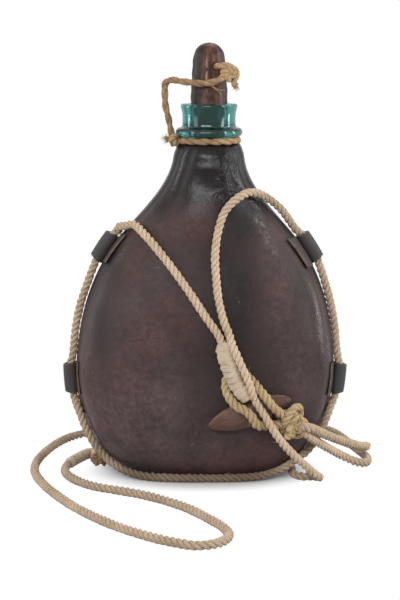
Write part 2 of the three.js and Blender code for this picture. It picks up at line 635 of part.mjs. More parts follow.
// Runs of seam thread between the loops' tongues, on the right side from bottom to top
function seamRuns() {
  const clear = LOOP_LENGTH / 2 + 2;
  const inGroove = (side, from, to, count) => Array.from({ length: count }, (_, i) => {
    const share = lerp(outlineShare(from), outlineShare(to), i / (count - 1));
    return offsetPoint(share, side > 0 ? 0 : Math.PI, -THREAD_DEPTH);
  });
  const upperReach = clear * LOOPS.cord_loop_upper_right.upward.z;
  const neckFrom = UPPER_LOOP_HEIGHT + upperReach;
  const sideTo = UPPER_LOOP_HEIGHT - upperReach;
  const sideFrom = LOWER_LOOP_HEIGHT + clear;
  const baseFrom = LOWER_LOOP_HEIGHT - clear;
  const across = [BASE_HALF_WIDTH / 2, 0, -BASE_HALF_WIDTH / 2].map((x) => vector(x, 0, THREAD_DEPTH));
  return {
    seam_thread_right_neck: inGroove(1, neckFrom, NECK_FOOT.height, 8),
    seam_thread_right_side: inGroove(1, sideFrom, sideTo, 8),
    seam_thread_base: [
      ...inGroove(1, baseFrom, 0, 9), ...across, ...inGroove(-1, baseFrom, 0, 9).reverse()],
    seam_thread_left_side: inGroove(-1, sideFrom, sideTo, 8),
    seam_thread_left_neck: inGroove(-1, neckFrom, NECK_FOOT.height, 8),
  };
}

// Ring of twine round the glass neck, open on the left where its knot sits
function neckRingRoute() {
  const count = 13;
  const sweep = 2 * Math.PI - 2 * NECK_KNOT_HALF_ANGLE;
  return Array.from({ length: count }, (_, i) => {
    const angle = Math.PI + NECK_KNOT_HALF_ANGLE + (sweep * i) / (count - 1);
    const x = NECK_LEAN + NECK_RING_RADIUS * Math.cos(angle);
    return vector(x, NECK_RING_RADIUS * Math.sin(angle), NECK_RING_HEIGHT);
  });
}

// Flask, cover and seam
addPart('glass_flask', glassFlask(), tealGlass);
addPart('leather_front_panel', leatherPanel(true), coverLeather);
addPart('leather_back_panel', leatherPanel(false), coverLeather);
Object.entries(seamRuns()).forEach(([name, points]) =>
  addPart(name, cord(points, THREAD_RADIUS, THREAD_SIDES, THREAD_STEP), seamThread));

// Cord loops, rim cord, seizing and toggle
Object.entries(LOOPS).forEach(([name, { origin, basis }]) => {
  const loop = addPart(name, cordLoop(), strapLeather);
  loop.position.copy(origin);
  loop.quaternion.setFromRotationMatrix(basis);
});
addPart('rim_cord', rope(rimCordRoute(), RIM_STEP), wornRope);
addPart('cord_seizing', cordSeizing(), greyThread);
addPart('toggle', leafToggle(), toggleWood);

// Sling
addPart('sling_cord_rear', rope(SLING_REAR, BEND_STEP), paleRope);
addPart('sling_hitch', foldedKnot(HITCH), juteTwine);
addPart('sling_cord_hook', rope(SLING_HOOK, HOOK_STEP), paleRope);
addPart('sling_whipping', cord(WHIPPING, WHIPPING_RADIUS, ROPE_SIDES, HOOK_STEP), greyThread);
addPart('sling_cord_front', rope(SLING_FRONT), paleRope);
addPart('sling_knot', overhandKnot(), paleRope);
addPart('sling_eye', rope(SLING_EYE, EYE_STEP), paleRope);
addPart('sling_tail', rope(SLING_TAIL), paleRope);

// Stopper and its twine
addPart('stopper', woodenStopper(), stopperWood);
addPart('neck_twine', twine(neckRingRoute(), TWINE_FINE_STEP), juteTwine);
addPart('neck_twine_knot', foldedKnot(NECK_KNOT), juteTwine);
addPart('twine_riser', twine(TWINE_RISER), juteTwine);
addPart('stopper_twine', twine(STOPPER_TWINE, TWINE_FINE_STEP), juteTwine);
addPart('stopper_twine_knot', twine(STOPPER_KNOT, TWINE_FINE_STEP), juteTwine);

export default canteen;
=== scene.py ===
"""Looks of the soldier's canteen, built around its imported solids: metres, +Z up, the front faces -Y."""
import math

import bpy
import numpy as np
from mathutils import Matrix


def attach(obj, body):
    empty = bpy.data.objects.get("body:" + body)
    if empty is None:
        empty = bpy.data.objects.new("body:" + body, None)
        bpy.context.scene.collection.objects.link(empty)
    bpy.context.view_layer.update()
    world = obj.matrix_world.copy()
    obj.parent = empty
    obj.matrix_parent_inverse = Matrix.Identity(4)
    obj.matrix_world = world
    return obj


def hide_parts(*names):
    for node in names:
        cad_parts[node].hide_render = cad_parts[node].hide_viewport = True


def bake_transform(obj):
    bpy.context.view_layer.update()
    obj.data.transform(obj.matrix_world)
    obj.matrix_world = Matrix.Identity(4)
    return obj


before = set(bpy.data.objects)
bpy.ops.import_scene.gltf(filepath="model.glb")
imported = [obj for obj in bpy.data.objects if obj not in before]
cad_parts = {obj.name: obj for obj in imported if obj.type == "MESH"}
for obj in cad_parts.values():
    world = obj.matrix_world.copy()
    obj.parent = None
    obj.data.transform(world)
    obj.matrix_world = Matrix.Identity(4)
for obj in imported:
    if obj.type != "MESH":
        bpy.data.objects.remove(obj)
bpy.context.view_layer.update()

MM = 0.001
TURN = 2.0 * math.pi
CHANCE = np.random.default_rng(11)
UP = np.array([0.0, 0.0, 1.0])
BACK = np.array([0.0, 1.0, 0.0])
WHITE = (1.0, 1.0, 1.0, 1.0)

# Steps in each span of a smooth route
SPAN_STEPS = 24

# Sockets of a colour mix: share, first colour, second colour and result
MIX_INPUTS = (0, 6, 7)
MIX_RESULT = 2

# Middle of the footprint, in the flask's own millimetres
FOOTPRINT = np.array([1.1, -6.6, 0.0])

# Camera: place, downward pitch and focal length in pixels of the 400 by 600 frame
CAMERA_PLACE = (-1.8, -900.0, 256.0)
CAMERA_PITCH = math.radians(9.65)
FOCAL_PIXELS = 1551.0
FRAME_HEIGHT = 600.0
SENSOR = 36.0

# Floor and surround: their light, a grey for the floor that paints a soft shadow round the object, and the
# oval round the object where the floor shows that grey and keeps its real shadow
WORLD_LIGHT = 0.5
FLOOR_SIZE = 12.0
FLOOR_GLOW = 0.05
FLOOR_SHADOW_GREY = (0.56, 0.56, 0.56, 1.0)
SHADOW_SHIFT = (0.0007, -0.0066, 0.0)
SHADOW_SHAPE = (0.667, 1.0, 0.0)
SHADOW_REACH = (0.031, 0.05)

# Lamps: name, place, aim, width, height and watts
MIDDLE = (0.0, 0.0, 0.12)
LAMPS = [
    ("top_box", (0.0, 0.3, 1.2), MIDDLE, 0.6, 0.4, 5.5),
    ("front_box", (-0.22, -1.0, 0.6), (0.0, 0.0, 0.16), 0.8, 0.22, 7.0),
    ("front_left_box", (-1.0, -0.6, 0.45), (0.0, 0.0, 0.25), 0.3, 0.9, 3.0),
    ("front_right_box", (1.0, -0.55, 0.5), (0.0, 0.0, 0.3), 0.2, 0.8, 6.0),
    ("left_strip", (-0.95, 0.1, 0.25), MIDDLE, 0.1, 0.7, 3.2),
    ("right_strip", (1.0, 0.1, 0.3), MIDDLE, 0.1, 0.8, 4.8),
]

# Leather cover, outline from the front: half widths, heights and the curve of the shoulder
BASE_HALF_WIDTH = 33.5
BODY_HALF_WIDTH = 74.8
WIDEST_HEIGHT = 65.0
UPPER_RISE = 102.0
UPPER_ANGLE = math.radians(48.5)
SHOULDER_REACH = 24.0
NECK_HANDLE = (21.8, 175.0)
NECK_FOOT = (20.4, 188.9)
COVER_TOP = (18.9, 193.0)
NECK_LEAN = 3.4

# Leather cover, depth from the side: half depths, taper to the neck and fullness of the corners
BASE_HALF_DEPTH = 17.0
BODY_HALF_DEPTH = 33.0
DEEPEST_HEIGHT = 40.0
TAPER = (80.0, 178.0)
NECK_RADIUS = 21.6
FULLNESS = 2.6
ROUND_FROM = 110.0

# Leather and its seam: ridge, valley and a band of painted shade beside the seam, with the heights where they
# come in, groove, gaps, thread
LEATHER = 2.4
SEAM_RIDGE = 0.9
VALLEY_DEPTH = 0.6
VALLEY_PLACE = 9.5
VALLEY_WIDTH = 3.0
VALLEY_RISE = (66.0, 100.0)
SEAM_SHADE = (4.5, 9.0)
SEAM_SHADE_RISE = (84.0, 110.0)
LOW_RIDGE = 0.9
LOW_RIDGE_END = (44.0, 84.0)
RIDGE_RISE = (3.0, 15.0)
RIDGE_END = (140.0, 166.0)
GROOVE_DEPTH = 1.7
SEAM_GAP = 0.15
SLOT_GAP = 1.6
THREAD_RADIUS = 0.45
THREAD_DEPTH = 0.7

# Base and top edge: heights where dents fade in, draw of the base, roll of the top; steps of the grid
FLAT_BASE = (1.0, 16.0)
BASE_DRAW = 0.9
TOP_ROLL = [(-3.4, 1.2), (-2.4, 2.0), (-0.9, 1.6)]
ARC_STEPS = 80
TOP_STEPS = 8
LEATHER_ROWS = 170
LEATHER_COLUMNS = 110
BASE_ROWS = 13

# Distances from the seam: rows, groove wall, outer slope of the ridge, dents, dust, base groove, slot ends
SEAM_STEPS = (0.0, 0.3, 0.65, 1.05, 1.5, 2.1, 2.9, 3.9)
GROOVE_SIDE = (0.0, 1.1)
RIDGE_SIDE = (1.8, 6.0)
DENT_SIDE = (1.0, 8.0)
SEAM_DUST = (0.6, 3.4)
BASE_GROOVE = 1.2
SLOT_RUN_OUT = 3.0

# Dents: height, then radians to the millimetre and start across and up, and across and up on a slant
DENT_HEIGHT = 0.17
DENT_ACROSS = (0.115, 1.3)
DENT_UP = (0.083, 0.4)
DENT_SLANT = (0.21, 0.17)
# Creases of the neck: height, waves round, radians to the millimetre up and start
CREASES = [(0.3, 9.0, 0.05, 0.8), (0.2, 17.0, -0.11, 0.0)]
NECK_GLOSS = (146.0, 172.0)

# Stitches: pitch, length, dive at both ends, how proud the middle stands and room beside a loop
STITCH_PITCH = 4.6
STITCH_LENGTH = 3.7
STITCH_DIVE = 1.1
STITCH_PROUD = 0.25
STITCH_CLEAR = 2.0
STITCH_STEPS = 7
STITCH_SIDES = 7
GROOVE_STEPS = 60
UNDER_STEPS = 30

# Tones of the front, some of which paint sheen and shade as well as tones of the leather: across, height,
# half width, half height and strength of each place
# Warmer places of the leather, which also paint sheen
WARM_AND_SHEEN_PLACES = [
    (37.0, 122.0, 10.0, 26.0, 0.5), (45.0, 104.0, 8.0, 14.0, 0.4), (-34.0, 80.0, 30.0, 50.0, 0.2),
    (56.0, 56.0, 14.0, 30.0, 0.3), (50.0, 84.0, 12.0, 14.0, 0.5),
    (-20.0, 48.0, 30.0, 18.0, 0.3), (-48.0, 34.0, 26.0, 24.0, 0.5), (-4.0, 20.0, 40.0, 16.0, 0.28),
]
# Black places: darker leather that also paints shade, along the edges and in the middle
BLACK_AND_SHADE_PLACES = [
    (19.0, 112.0, 15.0, 34.0, 1.0), (30.0, 78.0, 20.0, 18.0, 0.2), (22.0, 156.0, 13.0, 12.0, 1.0),
    (2.0, 74.0, 16.0, 36.0, 0.22), (-52.0, 128.0, 9.0, 16.0, 0.7), (-59.0, 92.0, 6.0, 22.0, 0.6),
    (58.0, 116.0, 8.0, 30.0, 0.7),
]
# Rubbed places on the right shoulder: scuffs that also paint a pale glossy streak
SCUFF_AND_SHEEN_PLACES = [
    (31.0, 153.0, 1.8, 5.0, 0.7), (34.0, 147.0, 1.8, 5.0, 0.9), (37.5, 140.5, 2.0, 5.0, 0.8),
    (41.5, 133.5, 2.0, 5.0, 0.5),
]
POLISHED_PLACES = [
    (65.0, 102.0, 6.0, 16.0, 0.8), (69.0, 74.0, 6.0, 18.0, 1.0), (66.0, 46.0, 7.0, 16.0, 0.9),
    (-70.0, 64.0, 5.0, 18.0, 0.6), (-64.0, 36.0, 7.0, 14.0, 0.9), (-50.0, 17.0, 14.0, 8.0, 0.9),
]
WRINKLED_PLACES = [(14.0, 184.0, 7.0, 14.0, 1.0), (12.0, 167.0, 6.0, 9.0, 0.6), (-6.0, 152.0, 18.0, 9.0, 0.3)]

# Swell of the shoulder: its place, given as above, and its height
SHOULDER_SWELL = [(-5.0, 151.0, 24.0, 17.0, 1.0)]
SWELL_HEIGHT = 3.4

# Cord loops: fold round the rim cord, its bulge and rounding, grid steps, rubbed edge and brown tongue
LOOP_LENGTH = 18.2
LOOP_REACH = 4.6
LOOP_BEND = 3.6
LOOP_STRAP = 1.4
LOOP_TONGUE = 2.0
LOOP_FOOT = [(-LOOP_TONGUE, 0.75), (-0.4, 0.8)]
LOOP_SWEEP = math.radians(158.0)
LOOP_FAR = 2.0
LOOP_NARROW = 0.1
LOOP_BULGE = 0.25
LOOP_ROUNDING = 0.4
LOOP_ROUNDING_STEPS = 2
LOOP_STEPS = 44
LOOP_COLUMNS = 25
LOOP_SPACING = 0.4
LOOP_RUB = 0.5
LOOP_RUBBED = (0.44, 0.5)
TONGUE_WAVE = (0.5, 9.0)
TONGUE_END = (1.0, 4.4)

# Strap ends sewn down beside the loops: lift, size, tuck into the seam, brown part, cut edge and grid
FLAP_LIFT = 0.5
FLAP_THICKNESS = 0.8
FLAP_LENGTH = 19.6
FLAP_TUCK = 0.6
FLAP_BROWN = (1.0, 6.0)
FLAP_CUT = (0.9, 0.2)
FLAP_ROWS = 25
FLAP_COLUMNS = 20
# Reach of each strap end over the cover and its shift up the rim
FLAPS = {"upper_left": (9.5, 2.4), "lower_left": (8.8, 0.6), "lower_right": (11.5, 0.6),
         "upper_right": (13.0, 0.0)}

# Heights of the loops
UPPER_LOOP_HEIGHT = 132.4
LOWER_LOOP_HEIGHT = 57.0

# Glass flask: gap to the leather, walls, ends of the body's two skins, grid and profile of the neck
GLASS_GAP = 3.1
GLASS = 3.0
NECK_GLASS = 5.9
THICKEN = (150.0, 176.0)
GLASS_TOP = 186.0
INNER_TOP = 174.0
GLASS_COLUMNS = 96
GLASS_ROWS = 60
INNER_ROWS = 50
LIP_SPACING = 0.5
GLASS_NECK = [
    (16.0, 190.0), (15.4, 193.0), (14.5, 195.2), (14.4, 197.4), (15.6, 198.7), (18.2, 199.3), (19.2, 200.6),
    (19.3, 202.4), (18.0, 203.9), (16.0, 204.6), (15.5, 206.0), (15.4, 209.0), (15.6, 212.5), (16.2, 215.2),
    (16.5, 216.6), (16.0, 217.6), (14.6, 217.9), (12.6, 217.8), (11.4, 217.2), (11.0, 215.6), (10.8, 208.0),
    (10.5, 198.0), (10.3, 188.0), (11.4, 180.0),
]

# Stopper: height, half width and half depth of each station; angle and reach of each carved face
STOPPER_STATIONS = [
    (193.0, 8.9, 8.9), (194.2, 9.8, 9.8), (206.0, 10.2, 10.2), (217.0, 10.5, 10.5), (223.0, 10.6, 10.3),
    (229.0, 10.25, 9.5), (235.0, 9.9, 8.9), (241.0, 9.45, 8.25), (245.0, 8.9, 7.7), (248.4, 7.6, 6.6),
    (250.8, 5.4, 4.7), (252.1, 2.8, 2.5),
]
STOPPER_TOP = 252.6
STOPPER_FACES = [
    (8.0, 0.98), (46.0, 0.95), (88.0, 0.98), (131.0, 0.94), (172.0, 0.98), (207.0, 0.95), (240.0, 0.93),
    (284.0, 0.93), (327.0, 0.95),
]

# Heights where the carving starts and below which the wood is dry
CARVED = (214.0, 222.0)
DRY_BELOW = (214.8, 217.8)

# Split down the front: heights where it opens and closes, sway, width and depth
CRACK_ANGLE = math.radians(262.0)
CRACK_OPENS = (229.0, 233.0)
CRACK_CLOSES = (242.0, 246.0)
CRACK_SWAY = (0.03, 0.8)
CRACK_WIDTH = 0.045
CRACK_DEPTH = 0.06

# Cross hole of the stopper
HOLE_OFFSET = 4.2
HOLE_HEIGHT = 239.2
HOLE_RADIUS = 2.3
HOLE_DEPTHS = [(-20.0, -0.6), (0.6, 20.0)]
HOLE_SIDES = 24
HOLE_SPACING = 4.0

# Grid of the stopper, sharpness, drift and nicks of its faces, painted highlight on the corners of its faces,
# and painted shade round all but its lit front side
STOPPER_SPACING = 0.6
STOPPER_COLUMNS = 180
FACE_POWER = 36
FACE_DRIFT = (0.05, 0.21)
NICK_DEPTH = 0.012
NICK_WAVES = (3.0, 0.9)
CORNER_REACH = (1.0, 1.05)
CORNER_HIGHLIGHT = 0.16
LIT_SIDE = math.radians(282.0)
LIT_REACH = (0.7, 0.92)
SIDE_SHADE_SHARE = 0.85

# Cords: radius and lay of each, and the unevenness of the lay
ROPE_RADIUS = 2.6
DIAGONAL_RADIUS = 2.45
RIM_RADIUS = 2.5
EYE_RADIUS = 2.8
TWINE_RADIUS = 2.0
ROPE_LAY = 10.8
TWINE_LAY = 15.0
UNEVEN_LAY = 0.03
LAY_WAVES = (7.3, 19.0, 46.0)

# Knots: radius and lay of their cord, its grid and crevices, and the opening of a small knot
HITCH_RADIUS = 1.95
HITCH_LAY = 10.0
NECK_KNOT_RADIUS = 1.8
STOPPER_KNOT_RADIUS = 1.9
TWINE_KNOT_LAY = 8.0
KNOT_COLUMNS = 21
KNOT_CREVICE = 0.36
LUMP_OPENING = 0.25

# Height of a rope's middle where it lies on the floor
FLOOR = 2.6

# Rim cord: places in the seizing, across and up the front face, over the shoulders and before the base
FACE_LIFT = 3.1
LEFT_TUCK = [(12.4, -38.6, 79.4), (11.2, -38.0, 83.0)]
LEFT_LEG = [(8.9, 88.0), (1.3, 99.0), (-9.7, 115.3), (-21.7, 131.4), (-32.6, 143.7), (-38.2, 147.6)]
RIGHT_LEG = [
    (14.4, 89.4), (12.4, 94.0), (10.1, 101.9), (8.4, 110.3), (7.3, 121.0), (6.7, 130.5), (7.3, 139.9),
    (9.0, 149.4), (12.0, 157.8), (18.0, 164.4), (25.2, 167.0),
]
BOUND_LEG = [
    (29.0, -44.9, 53.4), (27.8, -45.3, 56.8), (26.2, -45.5, 61.8), (24.2, -45.2, 67.0), (21.8, -44.2, 72.2),
    (19.2, -42.2, 77.6), (16.6, -39.6, 83.4),
]
LEFT_SHOULDER = [(-44.4, -9.0, 148.2), (-49.2, -2.4, 146.4)]
RIGHT_SHOULDER = [(35.4, -9.0, 165.0), (45.0, -3.2, 157.2)]
# Through a loop: distance up the rim and out from the seam
LOOP_LEADS = [(12.4, 3.0), (8.4, 4.3), (0.0, 4.6), (-8.4, 4.4), (-13.0, 3.6)]
# Beside the cover: height, angle from the seam and distance out
LEFT_SIDE = [(116.0, 0.0, 3.9), (101.0, 0.0, 3.7), (86.0, 0.0, 3.6), (74.0, 0.0, 3.4)]
RIGHT_SIDE = [(116.0, 0.0, 3.9), (101.0, 0.0, 3.3), (86.0, 0.0, 3.1), (74.0, 0.0, 3.1)]
LOW_PLACES = [(38.0, math.radians(4.0), 3.2), (29.0, math.radians(8.0), 2.9), (20.5, math.radians(12.0), 2.8)]
RIM_FRONT = [
    (-60.0, -11.0, 13.4), (-54.2, -14.6, 8.6), (-45.6, -19.4, 4.8), (-35.0, -23.9, 2.9), (-18.0, -27.4, 2.6),
    (0.0, -28.0, 2.6), (18.0, -27.4, 2.6), (34.0, -25.0, 3.2), (44.3, -21.8, 5.6), (52.2, -18.0, 9.2),
    (60.8, -12.2, 14.2),
]

# Seizing: centre line and half width of each station of the thread sleeve from top to bottom
SEIZING = [
    (11.4, -37.4, 84.6, 4.5), (12.4, -38.8, 79.0, 4.9), (14.8, -41.2, 71.4, 4.8), (17.6, -42.6, 64.4, 4.6),
    (21.2, -43.4, 58.2, 4.4), (25.2, -43.6, 53.0, 4.0),
]
SEIZING_HALF_DEPTH = 3.6
# Bindings: size at the ends, swell to the middle and length of the run-in. The seizing's sizes are shares of
# its half width and half depth, and the whipping's are its radius.
SEIZING_SWELL = (0.74, 0.26, 3.5)
WHIPPING_SWELL = (2.3, 0.85, 3.0)
SEIZING_COLUMNS = 40
WHIPPING_COLUMNS = 28
BINDING_SPACING = 0.3
BINDING_CHART = 10.0
THREAD_RIPPLE = 0.1
THREAD_PITCH = 1.05
BINDING_WANDER = 0.06
BINDING_WAVES = (3.1, 5.3)
# Open turns of the seizing, painted as dark lines of shade: places along it, slant, width and side
OPEN_TURNS = [12.8, 17.0, 20.4, 23.6]
OPEN_SLANT = 1.2
OPEN_WIDTH = 0.3
OPEN_SIDE = (-0.3, 0.3)

# Toggle: ends of its axis, half width and thickness, grid, swell, bevel, rubbed edge and darker right end
TOGGLE_LEFT = np.array([3.2, -39.0, 36.3])
TOGGLE_RIGHT = np.array([50.2, -36.2, 51.8])
TOGGLE_HALF_WIDTH = 7.9
TOGGLE_HALF_THICKNESS = 4.4
TOGGLE_ANGLE = math.atan2(TOGGLE_RIGHT[2] - TOGGLE_LEFT[2], TOGGLE_RIGHT[0] - TOGGLE_LEFT[0])
TOGGLE_ROWS = 80
TOGGLE_COLUMNS = 72
TOGGLE_TIP = 0.02
TOGGLE_SWELL = 0.56
TOGGLE_ROUND = 0.9
BEVEL_LOW = (0.35, 0.95)
BEVEL_FRONT = (-0.2, 0.3)
BEVEL_CUT = 0.35
TOGGLE_RUB = 0.5
TOGGLE_RUBBED = (0.72, 0.98)
TOGGLE_END_DARKENING = 0.7
TOGGLE_DARKER_END = (0.55, 0.85)

# Sling routes, as in the part's source apart from the ends in knots and an eye that is a little narrower and
# stands a little further in front of the toggle
SLING_REAR = [
    (27.3, -43.5, 53.4), (31.4, -45.4, 49.6), (34.8, -46.8, 44.6), (39.2, -47.2, 37.0), (44.8, -45.0, 28.6),
    (51.3, -41.4, 20.6), (58.0, -37.4, 13.4), (62.2, -34.6, 9.0), (65.4, -32.2, 5.8), (67.6, -29.0, 3.5),
    (67.4, -25.6, FLOOR), (64.0, -24.2, FLOOR), (59.4, -24.6, FLOOR), (55.2, -22.2, FLOOR),
    (53.0, -17.6, FLOOR), (52.6, -12.0, FLOOR), (52.6, -5.0, FLOOR), (52.0, 6.0, FLOOR), (47.6, 18.0, FLOOR),
    (36.0, 27.4, FLOOR), (18.0, 31.4, FLOOR), (0.0, 32.4, FLOOR), (-25.0, 31.4, FLOOR), (-43.0, 26.6, FLOOR),
    (-53.0, 18.0, FLOOR), (-58.4, 10.4, 3.9),
]
REAR_END = [(-61.6, 7.2, 4.6)]
# Small tight knots, here and below: centre, size, rise and turn
HITCH_LUMPS = [((-63.9, 6.0, 4.9), 0.92, 1.1, 0.4), ((-61.2, 4.6, 4.9), 0.92, 1.2, 1.9)]
SLING_HOOK = [
    (-64.8, 11.4, 4.9), (-64.8, 15.2, 4.6), (-65.6, 19.4, 4.3), (-67.9, 22.0, 4.0), (-70.6, 21.4, 3.8),
    (-72.2, 19.0, 3.8),
]
HOOK_START = [(-64.4, 7.6, 4.9)]
WHIPPING = [(-72.5, 18.4, 3.8), (-75.0, 12.9, 3.8), (-77.8, 6.2, 3.8), (-80.4, -1.0, 3.8)]
SLING_FRONT = [
    (-80.8, -2.0, 3.6), (-81.8, -11.4, FLOOR), (-78.6, -23.1, FLOOR), (-71.0, -35.5, FLOOR),
    (-60.6, -45.6, FLOOR), (-49.4, -51.8, FLOOR), (-33.8, -61.2, FLOOR), (-20.6, -72.6, FLOOR),
    (-7.8, -87.3, FLOOR), (3.0, -105.1, FLOOR), (10.6, -120.4, FLOOR), (13.0, -134.0, FLOOR),
    (7.6, -145.0, FLOOR), (-2.8, -149.2, FLOOR), (-13.4, -144.9, FLOOR), (-25.4, -136.8, FLOOR),
    (-45.9, -117.4, FLOOR), (-68.2, -87.3, FLOOR), (-86.1, -53.5, FLOOR), (-93.4, -35.4, FLOOR),
    (-98.4, -18.9, FLOOR), (-100.5, -1.7, FLOOR), (-99.6, 16.2, FLOOR), (-96.3, 34.7, FLOOR),
    (-91.2, 53.0, FLOOR), (-84.6, 66.4, FLOOR), (-76.6, 75.2, FLOOR), (-50.0, 89.0, FLOOR),
    (-10.0, 97.4, FLOOR), (35.0, 99.6, FLOOR), (65.0, 96.4, FLOOR), (80.0, 87.6, FLOOR), (87.6, 72.0, FLOOR),
    (92.4, 52.0, FLOOR), (97.0, 32.0, FLOOR), (100.2, 16.0, FLOOR), (98.2, 5.8, FLOOR), (92.6, 0.8, 4.2),
    (83.4, -4.4, 9.4), (75.2, -14.2, 16.0), (67.4, -24.0, 22.8), (60.8, -34.6, 29.6),
]
FRONT_END = [(56.4, -38.0, 33.6)]
# Overhand knot: place, outward direction, size, rope, spread of its two strands, rise, opening and turn
KNOT_CENTRE = np.array([50.2, -38.6, 38.2])
KNOT_OUTWARD = np.array([0.36, -0.92, -0.14])
KNOT_SIZE = 2.6
KNOT_ROPE = 2.4
KNOT_SPREAD = 2.2
KNOT_RISE = 1.35
KNOT_OPENING = math.radians(24.0)
KNOT_TURN = math.radians(102.0)
KNOT_STEPS = 160
KNOT_HEART = ((50.6, -39.6, 38.0), 1.5, 1.1, 0.4)
EYE_START = [(46.4, -42.0, 43.0)]
SLING_EYE = [
    (40.2, -44.8, 48.4), (37.8, -45.4, 51.5), (35.2, -45.0, 55.0), (31.8, -43.0, 58.8), (28.2, -39.6, 62.6),
    (24.6, -36.8, 65.6), (21.0, -35.7, 67.0), (17.4, -35.7, 67.0), (14.6, -36.4, 65.6), (13.0, -38.4, 62.4),
    (13.1, -41.0, 58.2), (14.8, -43.6, 54.4), (17.2, -45.2, 51.4), (19.6, -46.2, 49.4), (23.6, -46.9, 47.6),
    (26.8, -47.4, 44.8), (28.9, -47.2, 41.4), (30.6, -46.0, 39.0), (33.2, -44.6, 38.0), (36.2, -43.6, 38.0),
    (38.6, -42.6, 37.9),
]
EYE_END = [(44.0, -40.8, 38.0)]
TAIL_START = [(55.4, -41.4, 37.2)]
SLING_TAIL = [
    (62.0, -38.6, 35.2), (70.0, -26.8, 28.8), (79.6, -12.0, 21.6), (90.0, 4.6, 14.2), (97.6, 17.0, 9.6),
    (100.6, 22.4, 8.4),
]

# Twine: ring round the neck and its knot, riser, turn before the stopper, knot in its hole, stray fibres
NECK_RING_RADIUS = 16.8
NECK_RING_HEIGHT = 196.9
NECK_RING_GAP = 0.05
NECK_RING_STEPS = 60
NECK_LUMP = ((-16.6, -3.2, 197.3), 1.0, 1.2, 1.3)
RISER_START = [(-17.3, -2.0, 198.0)]
TWINE_RISER = [(-18.2, -2.6, 200.8), (-19.7, -3.2, 208.4), (-21.6, -3.8, 217.0), (-22.0, -4.0, 227.2)]
TURN_START = [(-22.0, -4.0, 225.8)]
STOPPER_TWINE = [
    (-22.0, -4.0, 227.7), (-21.6, -4.2, 229.4), (-19.0, -5.6, 231.3), (-9.8, -9.8, 230.4),
    (0.5, -12.4, 229.7), (6.4, -12.6, 230.6), (10.4, -12.6, 232.6), (13.6, -12.2, 235.2),
]
STOPPER_KNOT = [
    (7.6, -0.8, HOLE_HEIGHT), (7.6, -7.0, HOLE_HEIGHT), (9.0, -11.0, 239.4), (12.6, -12.4, 239.6),
    (16.0, -11.8, 238.8), (18.4, -10.2, 236.6), (18.7, -9.4, 233.4), (17.6, -9.4, 230.6), (18.2, -9.4, 228.2),
]
STOPPER_LUMP = ((14.6, -11.4, 234.8), 1.15, 1.2, 0.5)
STRAY_FIBRES = [
    [(3.6, -12.2, 228.6), (6.2, -11.9, 226.9), (9.0, -11.3, 224.6), (11.8, -10.9, 222.0)],
    [(4.4, -12.2, 228.9), (6.6, -12.2, 227.2), (9.2, -11.9, 226.0), (12.4, -11.4, 225.8)],
]
STRAY_RADIUS = 0.17
STRAY_SPACING = 0.8
STRAY_POINTS = 12
STRAY_SIDES = 5

# Loose fibres: shape of one, how fuzz and tufts stand, then count, reach and thickness of each fuzz, and
# spread, count, reach and thickness of each tuft
FIBRE_STEPS = 6
FIBRE_SIDES = 3
FIBRE_TAPER = 0.7
FIBRE_REFERENCE = np.array([0.31, 0.52, 0.79])
FUZZ_STAND = (0.35, 0.9)
FUZZ_REACH = (0.5, 1.2)
FUZZ_ROOT = 0.85
FUZZ_CURL = 0.25
FLOOR_CLEAR = 0.6
TUFT_WIDTH = 0.6
TUFT_REACH = (0.6, 1.1)
TUFT_CURL = 0.2
ROPE_FUZZ = (420, 2.6, 0.07)
NECK_FUZZ = (60, 2.4, 0.06)
STOPPER_FUZZ = (90, 2.6, 0.06)
TAIL_FRAY = (0.3, 40, 2.6, 0.22)
NECK_FRAY = (0.5, 80, 4.6, 0.17)
NECK_FRAY_PLACE = (-19.0, -2.8, 197.4)
NECK_FRAY_WAY = (-1.0, -0.3, 0.1)
STOPPER_FRAY = (0.45, 40, 2.8, 0.2)
STOPPER_FRAY_WAY = (0.5, -0.2, -1.0)

# Darkening of the cords, partly worn places and partly painted shade before, under and behind the flask: its
# share in each place, the range over which it comes in, and its wander along the cord
# Darker down the sides, over the arches and at the lower corners
SIDE_DARKENING = 0.25
SIDE_DEPTH = (-24.0, -6.0)
SIDE_TOP = (160.0, 172.0)
ARCH_DARKENING = 0.14
ARCH_FOOT = (150.0, 164.0)
CORNER_DARKENING = 0.24
CORNER_TOP = (10.0, 45.0)
# Painted shadow where the rim cord lies before the base
BASE_SHADE = 0.5
BASE_TOP = (3.0, 9.0)
BASE_FRONT = (10.0, 20.0)
# Worn and painted shade past the fold, deep painted shade under the cover
FOLD_WEAR_AND_SHADE = 0.34
FOLD_PLACE = (58.0, 74.0)
UNDER_SHADE = 0.45
UNDER_PLACE = (86.0, 98.0)
# Worn a little on the floor, painted shade behind the flask
FLOOR_WEAR = 0.28
FLOOR_LIE = (4.0, 14.0)
BEHIND_SHADE = 0.1
BEHIND_PLACE = (0.0, 60.0)
TAIL_WEAR = 0.2
TWINE_WEAR = 0.3
TWINE_PLACE = (4.0, 14.0)
WEAR_WANDER = 0.05
TWINE_WANDER = 0.09
RIM_WAVES = (31.0, 67.0)
FLOOR_WAVES = (23.0, 57.0)
TAIL_WAVES = (13.0, 29.0)
TWINE_WAVES = (4.7, 11.0)

# Roughness and specular level of each finish, and strength and depth of its bump
LEATHER_FINISH = (0.4, 0.17)
LEATHER_BUMP = (0.45, 0.0006)
STRAP_FINISH = (0.58, 0.3)
STRAP_BUMP = (0.45, 0.0005)
FIBRE_FINISH = (0.88, 0.2)
FIBRE_BUMP = (0.5, 0.0004)
WRAP_FINISH = (0.85, 0.2)
WRAP_BUMP = (0.4, 0.0004)
WAX_FINISH = (0.6, 0.3)
STOPPER_FINISH = (0.42, 0.22)
TOGGLE_FINISH = (0.5, 0.22)
WOOD_BUMP = (0.3, 0.0005)
GLASS_FINISH = (0.14, 0.5)
GLASS_BUMP = (0.15, 0.0008)
GLASS_IOR = 1.5
FLOOR_FINISH = (0.9, 0.1)

